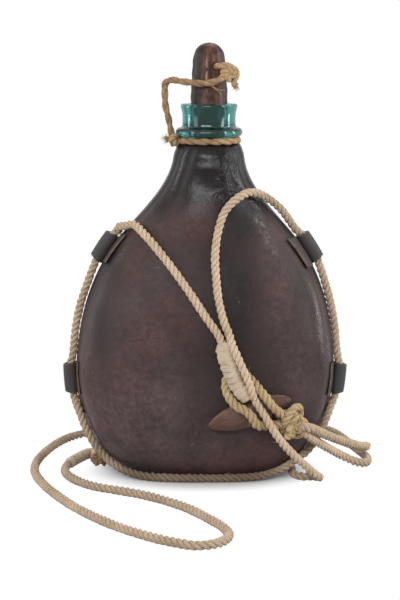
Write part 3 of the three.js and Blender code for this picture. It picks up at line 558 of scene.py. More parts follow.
# Cloudy patterns: waves to the metre, two levels of the ramp, and detail, roughness and bend if not usual
LEATHER_CLOUDS = (34.0, 0.25, 0.75, 8.0, 0.66, 0.0)
LEATHER_SPECKS = (300.0, 0.3, 0.7, 6.0, 0.7, 0.0)
RED_CLOUDS = (22.0, 0.42, 0.62, 5.0, 0.55, 0.2)
LEATHER_SCUFFS = (320.0, 0.42, 0.66, 6.0, 0.7, 0.0)
LEATHER_FLECKS = (330.0, 0.68, 0.78, 3.0)
LEATHER_GLOSS = (46.0, 0.34, 0.68, 6.0, 0.62)
LEATHER_GRAIN = (900.0, 0.3, 0.7, 4.0)
LEATHER_FOLDS = (65.0, 0.3, 0.7, 5.0, 0.6, 0.3)
NECK_WRINKLES = (120.0, 0.3, 0.7, 5.0, 0.55, 1.2)
STRAP_PATCHES = (150.0, 0.48, 0.72, 6.0, 0.62)
STRAP_NICKS = (260.0, 0.3, 0.6, 4.0)
STRAP_GRAIN = (600.0, 0.3, 0.7, 5.0)
FIBRE_BLOTCHES = (48.0, 0.42, 0.7)
FIBRE_SPECKS = (900.0, 0.34, 0.6, 3.0)
WRAP_STAINS = (150.0, 0.42, 0.72, 5.0)
WAX_RUBS = (500.0, 0.4, 0.7, 3.0)
WOOD_SMOKE = (85.0, 0.45, 0.72)
WOOD_NICKS = (260.0, 0.35, 0.65, 5.0)
GLASS_WAVES = (110.0, 0.3, 0.7, 2.0)

# Yarn lines and wood grain: values of the shared effects, the noise inside them and levels of ramps
ROPE_YARNS = 24.0
TWINE_YARNS = 14.0
HITCH_YARNS = 20.0
YARN_BEND = 1.1
YARN_FIBRE = 380.0
WRAP_LINES = {"Along": 9.5, "Round": 0.0, "Bend": 0.5, "Fibre": 300.0}
FIBRE_NOISE = {"Detail": 4.0, "Roughness": 0.65}
WOOD_NOISE = {"Scale": 1.0, "Detail": 6.0, "Roughness": 0.62, "Distortion": 0.6}
GRAIN_LEVELS = (0.32, 0.7)
CROWN_LEVELS = (-0.25, 0.5)
STOPPER_GRAIN = {"Turn": (0.0, 0.0, 0.0), "Stretch": (330.0, 330.0, 42.0)}
TOGGLE_GRAIN = {"Turn": (0.0, TOGGLE_ANGLE, 0.0), "Stretch": (55.0, 300.0, 300.0)}

# Weights of what a finish mixes: a plain share first where there is one, then one for each mask
BROKEN_TONES = (0.45, 0.6, 0.5)
DARK_TONES = (0.72, -0.24, -0.4)
LEATHER_DULL = (0.42, 0.1, -0.22, -0.1, -0.08, -0.2)
LEATHER_RELIEF = (0.0, 0.25, 2.0, 7.0)
FLECK_SHARE = 0.35
DUST_SHARE = 0.22
NECK_SHARE = 0.9
PATCH_SHARE = 0.55
TONGUE_SHARE = 0.6
YARN_TONES = (0.6, 0.4)
SPECK_TONES = (0.28, -0.28)
WRAP_TONES = (0.65, 0.35)
SMOKE_SHARE = 0.6
DRY_TONES = (0.5, 0.4)

# Colours, as linear light
LEATHER_DARK = (0.0125, 0.0093, 0.0094)
LEATHER_BROWN = (0.051, 0.031, 0.031)
LEATHER_WARM_AND_SHEEN = (0.12, 0.08, 0.08)
LEATHER_RED = (0.082, 0.034, 0.027)
LEATHER_PALE = (0.16, 0.14, 0.132)
LEATHER_BLACK = (0.0055, 0.005, 0.0055)
STRAP_CHARCOAL = (0.03, 0.028, 0.028)
STRAP_BROWN = (0.038, 0.025, 0.019)
STRAP_EDGE = (0.13, 0.085, 0.058)
ROPE_PALE = (0.67, 0.525, 0.38)
ROPE_STAIN = (0.57, 0.43, 0.295)
ROPE_SHADE = (0.27, 0.175, 0.11)
# Worn colour of the rope, also used for painted shade
ROPE_WORN_AND_SHADED = (0.35, 0.265, 0.19)
ROPE_WORN_SHADE = (0.1, 0.066, 0.042)
ROPE_DEEP_SHADE = (0.055, 0.032, 0.02)
EYE_PALE = (0.52, 0.385, 0.22)
EYE_STAIN = (0.38, 0.26, 0.13)
EYE_SHADE = (0.19, 0.12, 0.06)
TWINE_GOLD = (0.47, 0.325, 0.175)
TWINE_STAIN = (0.33, 0.2, 0.105)
TWINE_SHADE = (0.11, 0.06, 0.03)
TWINE_WORN = (0.22, 0.135, 0.08)
HITCH_BROWN = (0.36, 0.225, 0.135)
HITCH_STAIN = (0.24, 0.145, 0.085)
HITCH_SHADE = (0.06, 0.037, 0.021)
THREAD_PALE = (0.45, 0.368, 0.278)
THREAD_STAIN = (0.365, 0.285, 0.2)
THREAD_SHADE = (0.2, 0.15, 0.1)
WAX_DARK = (0.03, 0.022, 0.018)
WAX_WORN = (0.075, 0.055, 0.04)
STOPPER_DARK = (0.011, 0.007, 0.0065)
STOPPER_LIGHT = (0.15, 0.055, 0.03)
STOPPER_CRACK = (0.5, 0.27, 0.19)
DRY_WOOD = (0.3, 0.19, 0.12)
TOGGLE_DARK = (0.06, 0.03, 0.022)
TOGGLE_LIGHT = (0.135, 0.07, 0.05)
TOGGLE_EDGE = (0.26, 0.16, 0.11)
GLASS_TEAL = (0.045, 0.26, 0.248, 1.0)
GLASS_GLEAM = (0.75, 0.95, 0.95, 1.0)


# Numbers and curves

def smoothstep(value, low, high):
    """Smooth ramp from 0 at low to 1 at high."""
    share = np.clip((np.asarray(value, float) - low) / (high - low), 0.0, 1.0)
    return share * share * (3.0 - 2.0 * share)


def mix(first, second, share):
    """Value that goes straight from first to second as share goes from 0 to 1."""
    return first + (second - first) * share


def unit(vectors):
    """Vectors scaled to length one."""
    return vectors / np.linalg.norm(vectors, axis=-1, keepdims=True)


def round_angles(columns):
    """Even angles of one full turn."""
    return np.arange(columns) * TURN / columns


def place(points):
    """Millimetres about the flask's own axis to metres in the shared frame."""
    return (np.asarray(points, float) - FOOTPRINT) * MM


def lengths(route):
    """Distance along a route at each of its points."""
    steps = np.linalg.norm(np.diff(route, axis=0), axis=1)
    return np.concatenate([[0.0], np.cumsum(steps)])


def resample(route, spacing):
    """Evenly spaced points along a fine route."""
    along = lengths(route)
    count = max(3, int(round(along[-1] / spacing)) + 1)
    even = np.linspace(0.0, along[-1], count)
    return np.stack([np.interp(even, along, route[:, axis]) for axis in range(route.shape[1])], axis=1)


def smooth_route(points, spacing):
    """Even points on a curve through the given ones: cubic Hermite spans whose tangents come from knots
    spaced by the square root of the distance between points."""
    given = np.asarray(points, float)
    wide = np.vstack([2.0 * given[0] - given[1], given, 2.0 * given[-1] - given[-2]])
    knots = np.sqrt(np.linalg.norm(np.diff(wide, axis=0), axis=1))[:, None]
    before, here, after = knots[:-2], knots[1:-1], knots[2:]
    previous, start, end, following = wide[:-3], wide[1:-2], wide[2:-1], wide[3:]
    leave = ((start - previous) / before - (end - previous) / (before + here) + (end - start) / here) * here
    arrive = ((end - start) / here - (following - start) / (here + after) + (following - end) / after) * here
    share = np.linspace(0.0, 1.0, SPAN_STEPS, endpoint=False)[None, :, None]
    fine = (start[:, None] * (2 * share ** 3 - 3 * share ** 2 + 1)
            + leave[:, None] * (share ** 3 - 2 * share ** 2 + share)
            + end[:, None] * (3 * share ** 2 - 2 * share ** 3)
            + arrive[:, None] * (share ** 3 - share ** 2))
    return resample(np.vstack([fine.reshape(-1, given.shape[1]), given[-1]]), spacing)


def wander(along, size, waves):
    """Smooth seeded wobble along a line: a sum of sines of random phase, about size high."""
    along = np.asarray(along, float)
    total = np.zeros_like(along)
    for wave in waves:
        total += np.sin(TURN * along / wave + CHANCE.uniform(0.0, TURN))
    return size * total / math.sqrt(len(waves))


# Form of the leather cover

def outline_curve():
    """Half width and height from the base edge to the top: a quarter ellipse, an ellipse arc, a cubic Bezier
    shoulder and the straight top edge."""
    angle = np.linspace(0.0, math.pi / 2.0, ARC_STEPS)
    corner = np.stack([BASE_HALF_WIDTH + (BODY_HALF_WIDTH - BASE_HALF_WIDTH) * np.sin(angle),
                       WIDEST_HEIGHT * (1.0 - np.cos(angle))], axis=1)
    angle = np.linspace(0.0, UPPER_ANGLE, ARC_STEPS)[1:]
    upper = np.stack([BODY_HALF_WIDTH * np.cos(angle), WIDEST_HEIGHT + UPPER_RISE * np.sin(angle)], axis=1)
    slope = -BODY_HALF_WIDTH / UPPER_RISE * math.tan(UPPER_ANGLE)
    start = upper[-1]
    pull = start + SHOULDER_REACH * np.array([slope, 1.0])
    handle, foot = np.array(NECK_HANDLE), np.array(NECK_FOOT)
    share = np.linspace(0.0, 1.0, ARC_STEPS)[1:, None]
    rest = 1.0 - share
    shoulder = (rest ** 3 * start + 3 * rest ** 2 * share * pull + 3 * rest * share ** 2 * handle
                + share ** 3 * foot)
    top = mix(foot, np.array(COVER_TOP), np.linspace(0.0, 1.0, TOP_STEPS)[1:, None])
    return np.vstack([corner, upper, shoulder, top])


OUTLINE = outline_curve()
OUTLINE_LENGTH = lengths(OUTLINE)[-1]
OUTLINE_SHARE = lengths(OUTLINE) / OUTLINE_LENGTH


def share_at(height):
    """Share of the outline's length at which it reaches a height."""
    return np.interp(height, OUTLINE[:, 1], OUTLINE_SHARE)


def lean(height):
    """Sideways lean of the flask's axis at a height."""
    return NECK_LEAN * np.asarray(height, float) / COVER_TOP[1]


def section(share):
    """Half width, height, half depth and superellipse power of the cross section at a share of the
    outline."""
    half_width = np.interp(share, OUTLINE_SHARE, OUTLINE[:, 0])
    height = np.interp(share, OUTLINE_SHARE, OUTLINE[:, 1])
    drop = np.clip((DEEPEST_HEIGHT - height) / DEEPEST_HEIGHT, 0.0, 1.0)
    corner = mix(BASE_HALF_DEPTH, BODY_HALF_DEPTH, np.sqrt(1.0 - drop ** 2))
    half_depth = np.minimum(half_width, mix(corner, NECK_RADIUS, smoothstep(height, *TAPER)))
    power = mix(FULLNESS, 2.0, smoothstep(height, ROUND_FROM, TAPER[1]))
    return half_width, height, half_depth, power


def form_point(share, angle):
    """Outer form: superellipse sections stacked along the outline. Angle 0 is the right seam and a quarter
    turn is the middle of the front."""
    half_width, height, half_depth, power = section(share)
    cos, sin = np.cos(angle), np.sin(angle)
    x = lean(height) + half_width * np.sign(cos) * np.abs(cos) ** (2.0 / power)
    y = -half_depth * np.sign(sin) * np.abs(sin) ** (2.0 / power)
    return np.stack(np.broadcast_arrays(x, y, height), axis=-1)


def form_normal(share, angle):
    """Outward normal of the form, from differences along its two parameters."""
    step = 1e-3
    up = form_point(np.minimum(share + step, 1.0), angle) - form_point(np.maximum(share - step, 0.0), angle)
    around = form_point(share, angle + step) - form_point(share, angle - step)
    return unit(np.cross(up, around))


def offset_point(share, angle, offset):
    """Point a distance outside the form."""
    return form_point(share, angle) + np.asarray(offset)[..., None] * form_normal(share, angle)


def seam_angle(depth, half_depth, power):
    """Angle on the right of a section at which it lies a depth away from the seam's plane."""
    return np.arcsin((depth / half_depth) ** (power / 2.0))


def face_point(places, lift):
    """Points in front of the leather's face at places across and up, lifted off it along its normal."""
    places = np.asarray(places, float)

    def depth(x, height):
        """Depth of the face: the front of the section's superellipse at a place across."""
        half_width, _, half_depth, power = section(share_at(height))
        across = np.minimum(np.abs(x - lean(height)) / half_width, 1.0)
        return -half_depth * (1.0 - across ** power) ** (1.0 / power)

    x, height = places[:, 0], places[:, 1]
    step = 0.2
    slope_x = (depth(x + step, height) - depth(x - step, height)) / (2.0 * step)
    slope_z = (depth(x, height + step) - depth(x, height - step)) / (2.0 * step)
    normal = unit(np.stack([slope_x, -np.ones_like(x), slope_z], axis=1))
    return np.stack([x, depth(x, height), height], axis=1) + lift * normal


def loop_place(side, height):
    """Point on the seam, outward direction and direction up the rim at a cord loop."""
    share = float(share_at(height))
    angle = 0.0 if side > 0 else math.pi
    outward = unit(form_normal(share, angle) * np.array([1.0, 0.0, 1.0]))
    upward = np.array([-outward[2] * side, 0.0, outward[0] * side])
    return form_point(share, angle), outward, upward


LOOPS = {
    "upper_left": loop_place(-1, UPPER_LOOP_HEIGHT),
    "lower_left": loop_place(-1, LOWER_LOOP_HEIGHT),
    "lower_right": loop_place(1, LOWER_LOOP_HEIGHT),
    "upper_right": loop_place(1, UPPER_LOOP_HEIGHT),
}


# Meshes

def cell_corners(grid):
    """Values at the four corners of each cell of a stack of grids, in order round the cell."""
    return [grid[:, :-1, :-1], grid[:, :-1, 1:], grid[:, 1:, 1:], grid[:, 1:, :-1]]


def edge_pairs(grid, end):
    """Values at both ends of each edge of the first or last row, in the order that faces outwards."""
    row = grid[:, end]
    return (row[:, :-1], row[:, 1:]) if end else (row[:, 1:], row[:, :-1])


def surface(name, points, body, material, closed=False, caps=(None, None), uv=None, masks=None):
    """Object from one grid of points, or a stack of equal grids, in millimetres: a quad for each cell, closed
    round if asked, and a fan of triangles over an end that has a centre point."""
    stack = points.reshape(-1, *points.shape[-3:])
    ids = np.arange(stack[..., 0].size).reshape(stack.shape[:-1])
    vertices = stack.reshape(-1, 3)
    if closed:
        ids = np.concatenate([ids, ids[:, :, :1]], axis=2)
    faces = [np.stack(cell_corners(ids), axis=-1).reshape(-1, 4)]
    charts = []
    if uv is not None:
        chart = np.broadcast_to(uv, (*ids.shape, 2))
        charts.append(np.stack(cell_corners(chart), axis=-2).reshape(-1, 2))
    for end, centre in zip((0, -1), caps):
        if centre is None:
            continue
        hubs = len(vertices) + np.arange(len(stack))
        vertices = np.vstack([vertices, np.reshape(centre, (-1, 3))])
        pair = edge_pairs(ids, end)
        hub = np.broadcast_to(hubs[:, None], pair[0].shape)
        faces.append(np.stack([*pair, hub], axis=-1).reshape(-1, 3))
        if uv is not None:
            fan = edge_pairs(chart, end)
            charts.append(np.stack([*fan, (fan[0] + fan[1]) / 2.0], axis=-2).reshape(-1, 2))
    counts = np.concatenate([np.full(len(part), part.shape[1]) for part in faces])
    mesh = bpy.data.meshes.new(name)
    mesh.vertices.add(len(vertices))
    mesh.vertices.foreach_set("co", place(vertices).ravel())
    flat = np.concatenate([part.ravel() for part in faces])
    mesh.loops.add(len(flat))
    mesh.loops.foreach_set("vertex_index", flat)
    mesh.polygons.add(len(counts))
    mesh.polygons.foreach_set("loop_start", np.concatenate([[0], np.cumsum(counts)[:-1]]))
    mesh.polygons.foreach_set("use_smooth", np.ones(len(counts), dtype=bool))
    if uv is not None:
        mesh.uv_layers.new(name="UVMap").data.foreach_set("uv", np.concatenate(charts).ravel())
    for mask, values in (masks or {}).items():
        full = np.zeros(len(vertices))
        full[:stack[..., 0].size] = np.broadcast_to(values, stack.shape[:-1]).ravel()
        mesh.attributes.new(mask, "FLOAT", "POINT").data.foreach_set("value", full)
    mesh.update(calc_edges=True)
    mesh.validate()
    piece = bpy.data.objects.new(name, mesh)
    bpy.context.scene.collection.objects.link(piece)
    mesh.materials.append(material)
    if body:
        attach(piece, body)
    return piece


def stand_for(piece, slot, *nodes):
    """Let a piece take the place of its plain solids, which are hidden."""
    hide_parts(*nodes)
    return piece


def thicken(piece, thickness, offset):
    """Wall of a thickness in millimetres: inwards at offset -1, both ways at 0 and outwards at 1."""
    wall = piece.modifiers.new("wall", "SOLIDIFY")
    wall.thickness = thickness * MM
    wall.offset = offset


def turned_over(shape, masks):
    """Grid and masks with their columns in the opposite order, so that the faces look the other way."""
    return shape[:, ::-1], {mask: values[:, ::-1] for mask, values in masks.items()}


def tube_frame(route, reference):
    """Side and up directions square to a route, made from a reference direction, and the angle by which they
    spin about the route compared with directions carried along it without spin."""
    tangent = unit(np.gradient(route, axis=0))
    side = unit(np.cross(np.broadcast_to(reference, tangent.shape), tangent))
    up = np.cross(tangent, side)
    carried = side[:-1] - np.sum(side[:-1] * tangent[1:], axis=1, keepdims=True) * tangent[1:]
    step = np.arctan2(np.sum(carried * -up[1:], axis=1), np.sum(carried * side[1:], axis=1))
    return side, up, np.concatenate([[0.0], np.cumsum(step)])


def sweep(route, ring, turning, reference):
    """Rings of points round a route: each ring lies square to the route, with a radius for every column, and
    turns by an angle for each point of the route."""
    side, up, spin = tube_frame(route, reference)
    angle = round_angles(ring.shape[-1]) + (turning - spin)[:, None]
    across = np.cos(angle)[..., None] * side[:, None] + np.sin(angle)[..., None] * up[:, None]
    return route[:, None] + ring[..., None] * across


def plain_tube(route, radius, sides, reference):
    """Round tube of one radius along a route."""
    return sweep(route, np.full((len(route), sides), radius), np.zeros(len(route)), reference)


def thin_tubes(spines, side, up, radius, sides):
    """Tubes round a stack of short spines: rings in their side and up directions."""
    turn = round_angles(sides)
    ring = np.cos(turn)[:, None] * side[:, :, None] + np.sin(turn)[:, None] * up[:, :, None]
    return spines[:, :, None] + radius * ring


def cord_chart(along, length, columns):
    """Chart of a cord: so many lengths along it and one turn round it."""
    chart = np.broadcast_arrays(along[:, None] / length, np.linspace(0.0, 1.0, columns + 1)[None, :])
    return np.stack(chart, axis=-1)


def route_ends(routes):
    """First and last points of several routes."""
    return np.stack([route[0] for route in routes]), np.stack([route[-1] for route in routes])


def strand_profile(columns, strands, crevice):
    """Relative radius round a laid cord: touching round strands, with only a share of each crevice kept.
    Also the crown mask, 0 in a crevice and 1 on top of a strand."""
    sector = TURN / strands
    offset = round_angles(columns) % sector - sector / 2.0
    seat = 1.0 / math.sin(sector / 2.0)
    strand = 1.0 / (1.0 + seat)
    reach = seat * strand * np.cos(offset)
    radius = reach + np.sqrt(np.maximum(strand ** 2 - (seat * strand * np.sin(offset)) ** 2, 0.0))
    lowest = seat * strand * math.cos(sector / 2.0)
    crown = (radius - lowest) / (1.0 - lowest)
    return 1.0 - crevice * (1.0 - crown), crown


def laid_shape(route, radius, lay, reference, strands, columns, crevice, phase=0.0):
    """Grid of a laid cord along an even route, its chart in turns along and round, and its crown mask."""
    along = lengths(route)
    profile, crown = strand_profile(columns, strands, crevice)
    uneven = 1.0 + wander(along, UNEVEN_LAY, LAY_WAVES)
    ring = radius * uneven[:, None] * profile
    shape = sweep(route, ring, TURN * along / lay + phase, reference)
    return shape, cord_chart(along, lay, columns), crown[None, :]


def laid_cord(name, points, body, radius, lay, material, reference, strands=3, columns=27, spacing=1.0,
              crevice=0.4, worn=None, follow=None):
    """Rope or twine laid from strands along a smooth route, worn by a function of its points. Where it
    follows another cord, its strands start at that cord's strands. Returns the piece, its route and its last
    ring's first spoke."""
    route = smooth_route(points, spacing)
    phase = 0.0
    if follow is not None:
        side, up, _ = tube_frame(route, reference)
        phase = math.atan2(float(follow @ up[0]), float(follow @ side[0]))
    shape, chart, crown = laid_shape(route, radius, lay, reference, strands, columns, crevice, phase)
    masks = {"crown": crown}
    if worn is not None:
        masks["worn"] = worn(route)[:, None]
    piece = surface(name, shape, body, material, closed=True, caps=(route[0], route[-1]), uv=chart,
                    masks=masks)
    return piece, route, shape[-1, 0] - route[-1]


# Shader nodes and effects that several finishes share

def feed(tree, socket, value):
    """Give a socket a plain value or a link from another socket."""
    if isinstance(value, bpy.types.NodeSocket):
        tree.links.new(value, socket)
    else:
        socket.default_value = value


def add_node(tree, kind, inputs=None, **settings):
    """Node with its settings, and with a plain value or a link at each of the inputs named."""
    node = tree.nodes.new(kind)
    for name, value in settings.items():
        setattr(node, name, value)
    for socket, value in (inputs or {}).items():
        feed(tree, node.inputs[socket], value)
    return node


def arithmetic(tree, operation, *terms):
    """Arithmetic on values; each term is a number or a socket."""
    return add_node(tree, "ShaderNodeMath", dict(enumerate(terms)), operation=operation).outputs["Value"]


def product(tree, first, second):
    """First value times the second."""
    return arithmetic(tree, "MULTIPLY", first, second)


def weighted(tree, weights, *parts):
    """First weight plus each part times its own weight."""
    total = weights[0]
    for weight, part in zip(weights[1:], parts):
        total = arithmetic(tree, "MULTIPLY_ADD", part, weight, total)
    return total


def ramp(tree, value, low, high, start=0.0, end=1.0):
    """Smooth ramp of a value, from start at low to end at high."""
    levels = {"Value": value, "From Min": low, "From Max": high, "To Min": start, "To Max": end}
    return add_node(tree, "ShaderNodeMapRange", levels, interpolation_type="SMOOTHSTEP").outputs["Result"]


def object_spot(tree):
    """Object coordinates of what is shaded."""
    return add_node(tree, "ShaderNodeTexCoord").outputs["Object"]


def painted_mask(tree, name):
    """Mask kept on the mesh's own points."""
    return add_node(tree, "ShaderNodeAttribute", attribute_name=name).outputs["Fac"]


def effect_group(name, inputs, outputs):
    """Shader node group with named inputs and value outputs; returns its tree and its two end nodes."""
    tree = bpy.data.node_groups.new(name, "ShaderNodeTree")
    for socket, value in inputs.items():
        kind = "NodeSocketVector" if isinstance(value, tuple) else "NodeSocketFloat"
        tree.interface.new_socket(socket, in_out="INPUT", socket_type=kind).default_value = value
    for socket in outputs:
        tree.interface.new_socket(socket, in_out="OUTPUT", socket_type="NodeSocketFloat")
    return tree, tree.nodes.new("NodeGroupInput").outputs, tree.nodes.new("NodeGroupOutput").inputs


def mottle_group():
    """Cloudy mask on Object coordinates: noise with its scale in waves to the metre, ramped between two
    levels."""
    usual = {"Scale": 40.0, "Detail": 4.0, "Roughness": 0.55, "Distortion": 0.4}
    tree, given, result = effect_group("mottle", {**usual, "Low": 0.4, "High": 0.7}, ["Mask", "Height"])
    values = {"Vector": object_spot(tree), **{socket: given[socket] for socket in usual}}
    noise = add_node(tree, "ShaderNodeTexNoise", values).outputs["Fac"]
    feed(tree, result["Mask"], ramp(tree, noise, given["Low"], given["High"]))
    feed(tree, result["Height"], noise)
    return tree


def yarn_group():
    """Fine yarn lines on a cord's own chart: a sine of so many lines along and round, bent by fibre noise."""
    usual = {"Along": 24.0, "Round": 24.0, "Bend": 0.5, "Fibre": 420.0}
    tree, given, result = effect_group("yarn_lines", usual, ["Line", "Height"])
    chart = add_node(tree, "ShaderNodeUVMap", uv_map="UVMap").outputs["UV"]
    ways = add_node(tree, "ShaderNodeSeparateXYZ", {"Vector": chart}).outputs
    values = {"Vector": object_spot(tree), "Scale": given["Fibre"], **FIBRE_NOISE}
    fibre = add_node(tree, "ShaderNodeTexNoise", values).outputs["Fac"]
    along = product(tree, ways["X"], given["Along"])
    both = arithmetic(tree, "MULTIPLY_ADD", ways["Y"], given["Round"], along)
    bent = arithmetic(tree, "MULTIPLY_ADD", fibre, given["Bend"], both)
    wave = arithmetic(tree, "SINE", product(tree, bent, TURN))
    line = weighted(tree, (0.5, 0.5), wave)
    feed(tree, result["Line"], line)
    feed(tree, result["Height"], arithmetic(tree, "ADD", line, fibre))
    return tree


def grain_group():
    """Long wood grain: noise on Object coordinates turned and stretched along the grain."""
    usual = {"Turn": (0.0, 0.0, 0.0), "Stretch": (420.0, 420.0, 40.0)}
    tree, given, result = effect_group("wood_grain", usual, ["Lines", "Height"])
    turned = add_node(tree, "ShaderNodeMapping", {"Vector": object_spot(tree), "Rotation": given["Turn"]})
    drawn = add_node(tree, "ShaderNodeMapping",
                     {"Vector": turned.outputs["Vector"], "Scale": given["Stretch"]})
    values = {"Vector": drawn.outputs["Vector"], **WOOD_NOISE}
    noise = add_node(tree, "ShaderNodeTexNoise", values).outputs["Fac"]
    feed(tree, result["Lines"], ramp(tree, noise, *GRAIN_LEVELS))
    feed(tree, result["Height"], noise)
    return tree


MOTTLE = mottle_group()
YARN = yarn_group()
GRAIN = grain_group()


def effect(tree, group, **values):
    """Place a shared effect in a material with its own values; returns its outputs."""
    return add_node(tree, "ShaderNodeGroup", values, node_tree=group).outputs


def mottle(tree, scale, low, high, detail=4.0, rough=0.55, bend=0.4):
    """Outputs of the cloudy mask with these values."""
    return effect(tree, MOTTLE, Scale=scale, Low=low, High=high, Detail=detail, Roughness=rough,
                  Distortion=bend)


# Materials

def new_material(name, roughness, specular):
    """Material with a Principled surface, its tree and that shader's inputs."""
    material = bpy.data.materials.new(name)
    material.use_nodes = True
    tree = material.node_tree
    sockets = tree.nodes["Principled BSDF"].inputs
    sockets["Roughness"].default_value = roughness
    sockets["Specular IOR Level"].default_value = specular
    return material, tree, sockets


def blend_colour(tree, share, first, second):
    """Colour that goes from first to second with a share; each is a colour or a socket."""
    ends = [(*value, 1.0) if isinstance(value, tuple) else value for value in (first, second)]
    node = add_node(tree, "ShaderNodeMix", dict(zip(MIX_INPUTS, (share, *ends))), data_type="RGBA")
    return node.outputs[MIX_RESULT]


def set_bump(tree, sockets, height, strength, distance):
    """Bump of the surface from a height value."""
    values = {"Height": height, "Strength": strength, "Distance": distance}
    feed(tree, sockets["Normal"], add_node(tree, "ShaderNodeBump", values).outputs["Normal"])


def cover_leather():
    """Dark old leather: brown with warmer places that also paint sheen, black places that also paint shade,
    scuffed places that also paint a glossy streak, red clouds, a black glossy neck and fine grain."""
    material, tree, sockets = new_material("cover_leather", *LEATHER_FINISH)
    neck = painted_mask(tree, "neck")
    warm_and_sheen = painted_mask(tree, "warm_and_sheen")
    wrinkled = painted_mask(tree, "wrinkled")
    clouds = mottle(tree, *LEATHER_CLOUDS)["Mask"]
    specks = mottle(tree, *LEATHER_SPECKS)["Mask"]
    broken = weighted(tree, BROKEN_TONES, specks, clouds)
    red = product(tree, mottle(tree, *RED_CLOUDS)["Mask"], specks)
    colour = blend_colour(tree, red, LEATHER_BROWN, LEATHER_RED)
    # Warmer places also paint sheen, and black places also paint shade, over the leather's own tones
    for mask, tint in ((warm_and_sheen, LEATHER_WARM_AND_SHEEN), (painted_mask(tree, "black"), LEATHER_DARK)):
        share = arithmetic(tree, "MINIMUM", product(tree, mask, broken), 1.0)
        colour = blend_colour(tree, share, colour, tint)
    colour = blend_colour(tree, weighted(tree, DARK_TONES, specks, clouds), colour, LEATHER_DARK)
    colour = blend_colour(tree, product(tree, neck, NECK_SHARE), colour, LEATHER_BLACK)
    # Rubbed places: scuffs with a painted glossy streak in the pale colour
    rubbed = product(tree, mottle(tree, *LEATHER_SCUFFS)["Mask"], painted_mask(tree, "rub_and_sheen"))
    flecks = product(tree, mottle(tree, *LEATHER_FLECKS)["Mask"], FLECK_SHARE)
    dust = product(tree, painted_mask(tree, "seam"), DUST_SHARE)
    pale = arithmetic(tree, "MAXIMUM", arithmetic(tree, "MAXIMUM", rubbed, flecks), dust)
    feed(tree, sockets["Base Color"], blend_colour(tree, pale, colour, LEATHER_PALE))
    gloss = mottle(tree, *LEATHER_GLOSS)["Mask"]
    polish = painted_mask(tree, "polish")
    feed(tree, sockets["Roughness"], weighted(tree, LEATHER_DULL, gloss, neck, warm_and_sheen, wrinkled, polish))
    grain = mottle(tree, *LEATHER_GRAIN)["Height"]
    folds = mottle(tree, *LEATHER_FOLDS)["Height"]
    wrinkles = product(tree, mottle(tree, *NECK_WRINKLES)["Height"], wrinkled)
    set_bump(tree, sockets, weighted(tree, LEATHER_RELIEF, grain, folds, wrinkles), *LEATHER_BUMP)
    return material


def strap_leather():
    """Charcoal strap leather, brown where it comes out of the seam, with worn patches and pale cut edges."""
    material, tree, sockets = new_material("strap_leather", *STRAP_FINISH)
    worn = product(tree, mottle(tree, *STRAP_PATCHES)["Mask"], PATCH_SHARE)
    tongue = product(tree, painted_mask(tree, "tongue"), TONGUE_SHARE)
    edge = product(tree, painted_mask(tree, "edge"), mottle(tree, *STRAP_NICKS)["Mask"])
    colour = blend_colour(tree, worn, STRAP_CHARCOAL, STRAP_BROWN)
    colour = blend_colour(tree, tongue, colour, STRAP_BROWN)
    feed(tree, sockets["Base Color"], blend_colour(tree, edge, colour, STRAP_EDGE))
    set_bump(tree, sockets, mottle(tree, *STRAP_GRAIN)["Height"], *STRAP_BUMP)
    return material


def laid_fibre(name, pale, stain, shade, worn, worn_shade, deep_shade, yarns):
    """Laid fibre: pale crowns stained in blotches, painted shade in the crevices and between the fine yarn
    lines. Up to half of its worn mask, which also carries painted shade, it darkens to its worn colour, and
    beyond that to a deep painted shade."""
    material, tree, sockets = new_material(name, *FIBRE_FINISH)
    wear_and_shade = painted_mask(tree, "worn")
    used = arithmetic(tree, "MINIMUM", product(tree, wear_and_shade, 2.0), 1.0)
    # Beyond half of the worn mask: deep painted shade, where the rope lies under and before the flask
    deep_shaded = arithmetic(tree, "MAXIMUM", weighted(tree, (-1.0, 2.0), wear_and_shade), 0.0)
    yarn = effect(tree, YARN, Along=yarns, Round=yarns, Bend=YARN_BEND, Fibre=YARN_FIBRE)
    blotch = mottle(tree, *FIBRE_BLOTCHES)["Mask"]
    crown = blend_colour(tree, used, blend_colour(tree, blotch, pale, stain), worn)
    crown = blend_colour(tree, deep_shaded, crown, deep_shade)
    # Painted shade in the crevices and between the yarn lines
    crevice = blend_colour(tree, used, shade, worn_shade)
    crown = blend_colour(tree, weighted(tree, YARN_TONES, yarn["Line"]), crevice, crown)
    specks = mottle(tree, *FIBRE_SPECKS)["Mask"]
    crown = blend_colour(tree, weighted(tree, SPECK_TONES, specks), crown, crevice)
    lit = ramp(tree, painted_mask(tree, "crown"), *CROWN_LEVELS)
    feed(tree, sockets["Base Color"], blend_colour(tree, lit, crevice, crown))
    set_bump(tree, sockets, yarn["Height"], *FIBRE_BUMP)
    return material


def thread_wrap():
    """Close turns of grey thread: pale ridges across the binding, with stains and a few open turns painted as
    dark lines of shade.
    """
    material, tree, sockets = new_material("thread_wrap", *WRAP_FINISH)
    turns = effect(tree, YARN, **WRAP_LINES)
    pale = blend_colour(tree, mottle(tree, *WRAP_STAINS)["Mask"], THREAD_PALE, THREAD_STAIN)
    colour = blend_colour(tree, weighted(tree, WRAP_TONES, turns["Line"]), THREAD_STAIN, pale)
    colour = blend_colour(tree, painted_mask(tree, "gap"), colour, THREAD_SHADE)
    feed(tree, sockets["Base Color"], colour)
    set_bump(tree, sockets, turns["Height"], *WRAP_BUMP)
    return material


def waxed_thread():
    """Dark waxed thread, paler where it is rubbed."""
    material, tree, sockets = new_material("waxed_thread", *WAX_FINISH)
    colour = blend_colour(tree, mottle(tree, *WAX_RUBS)["Mask"], WAX_DARK, WAX_WORN)
    feed(tree, sockets["Base Color"], colour)
    return material


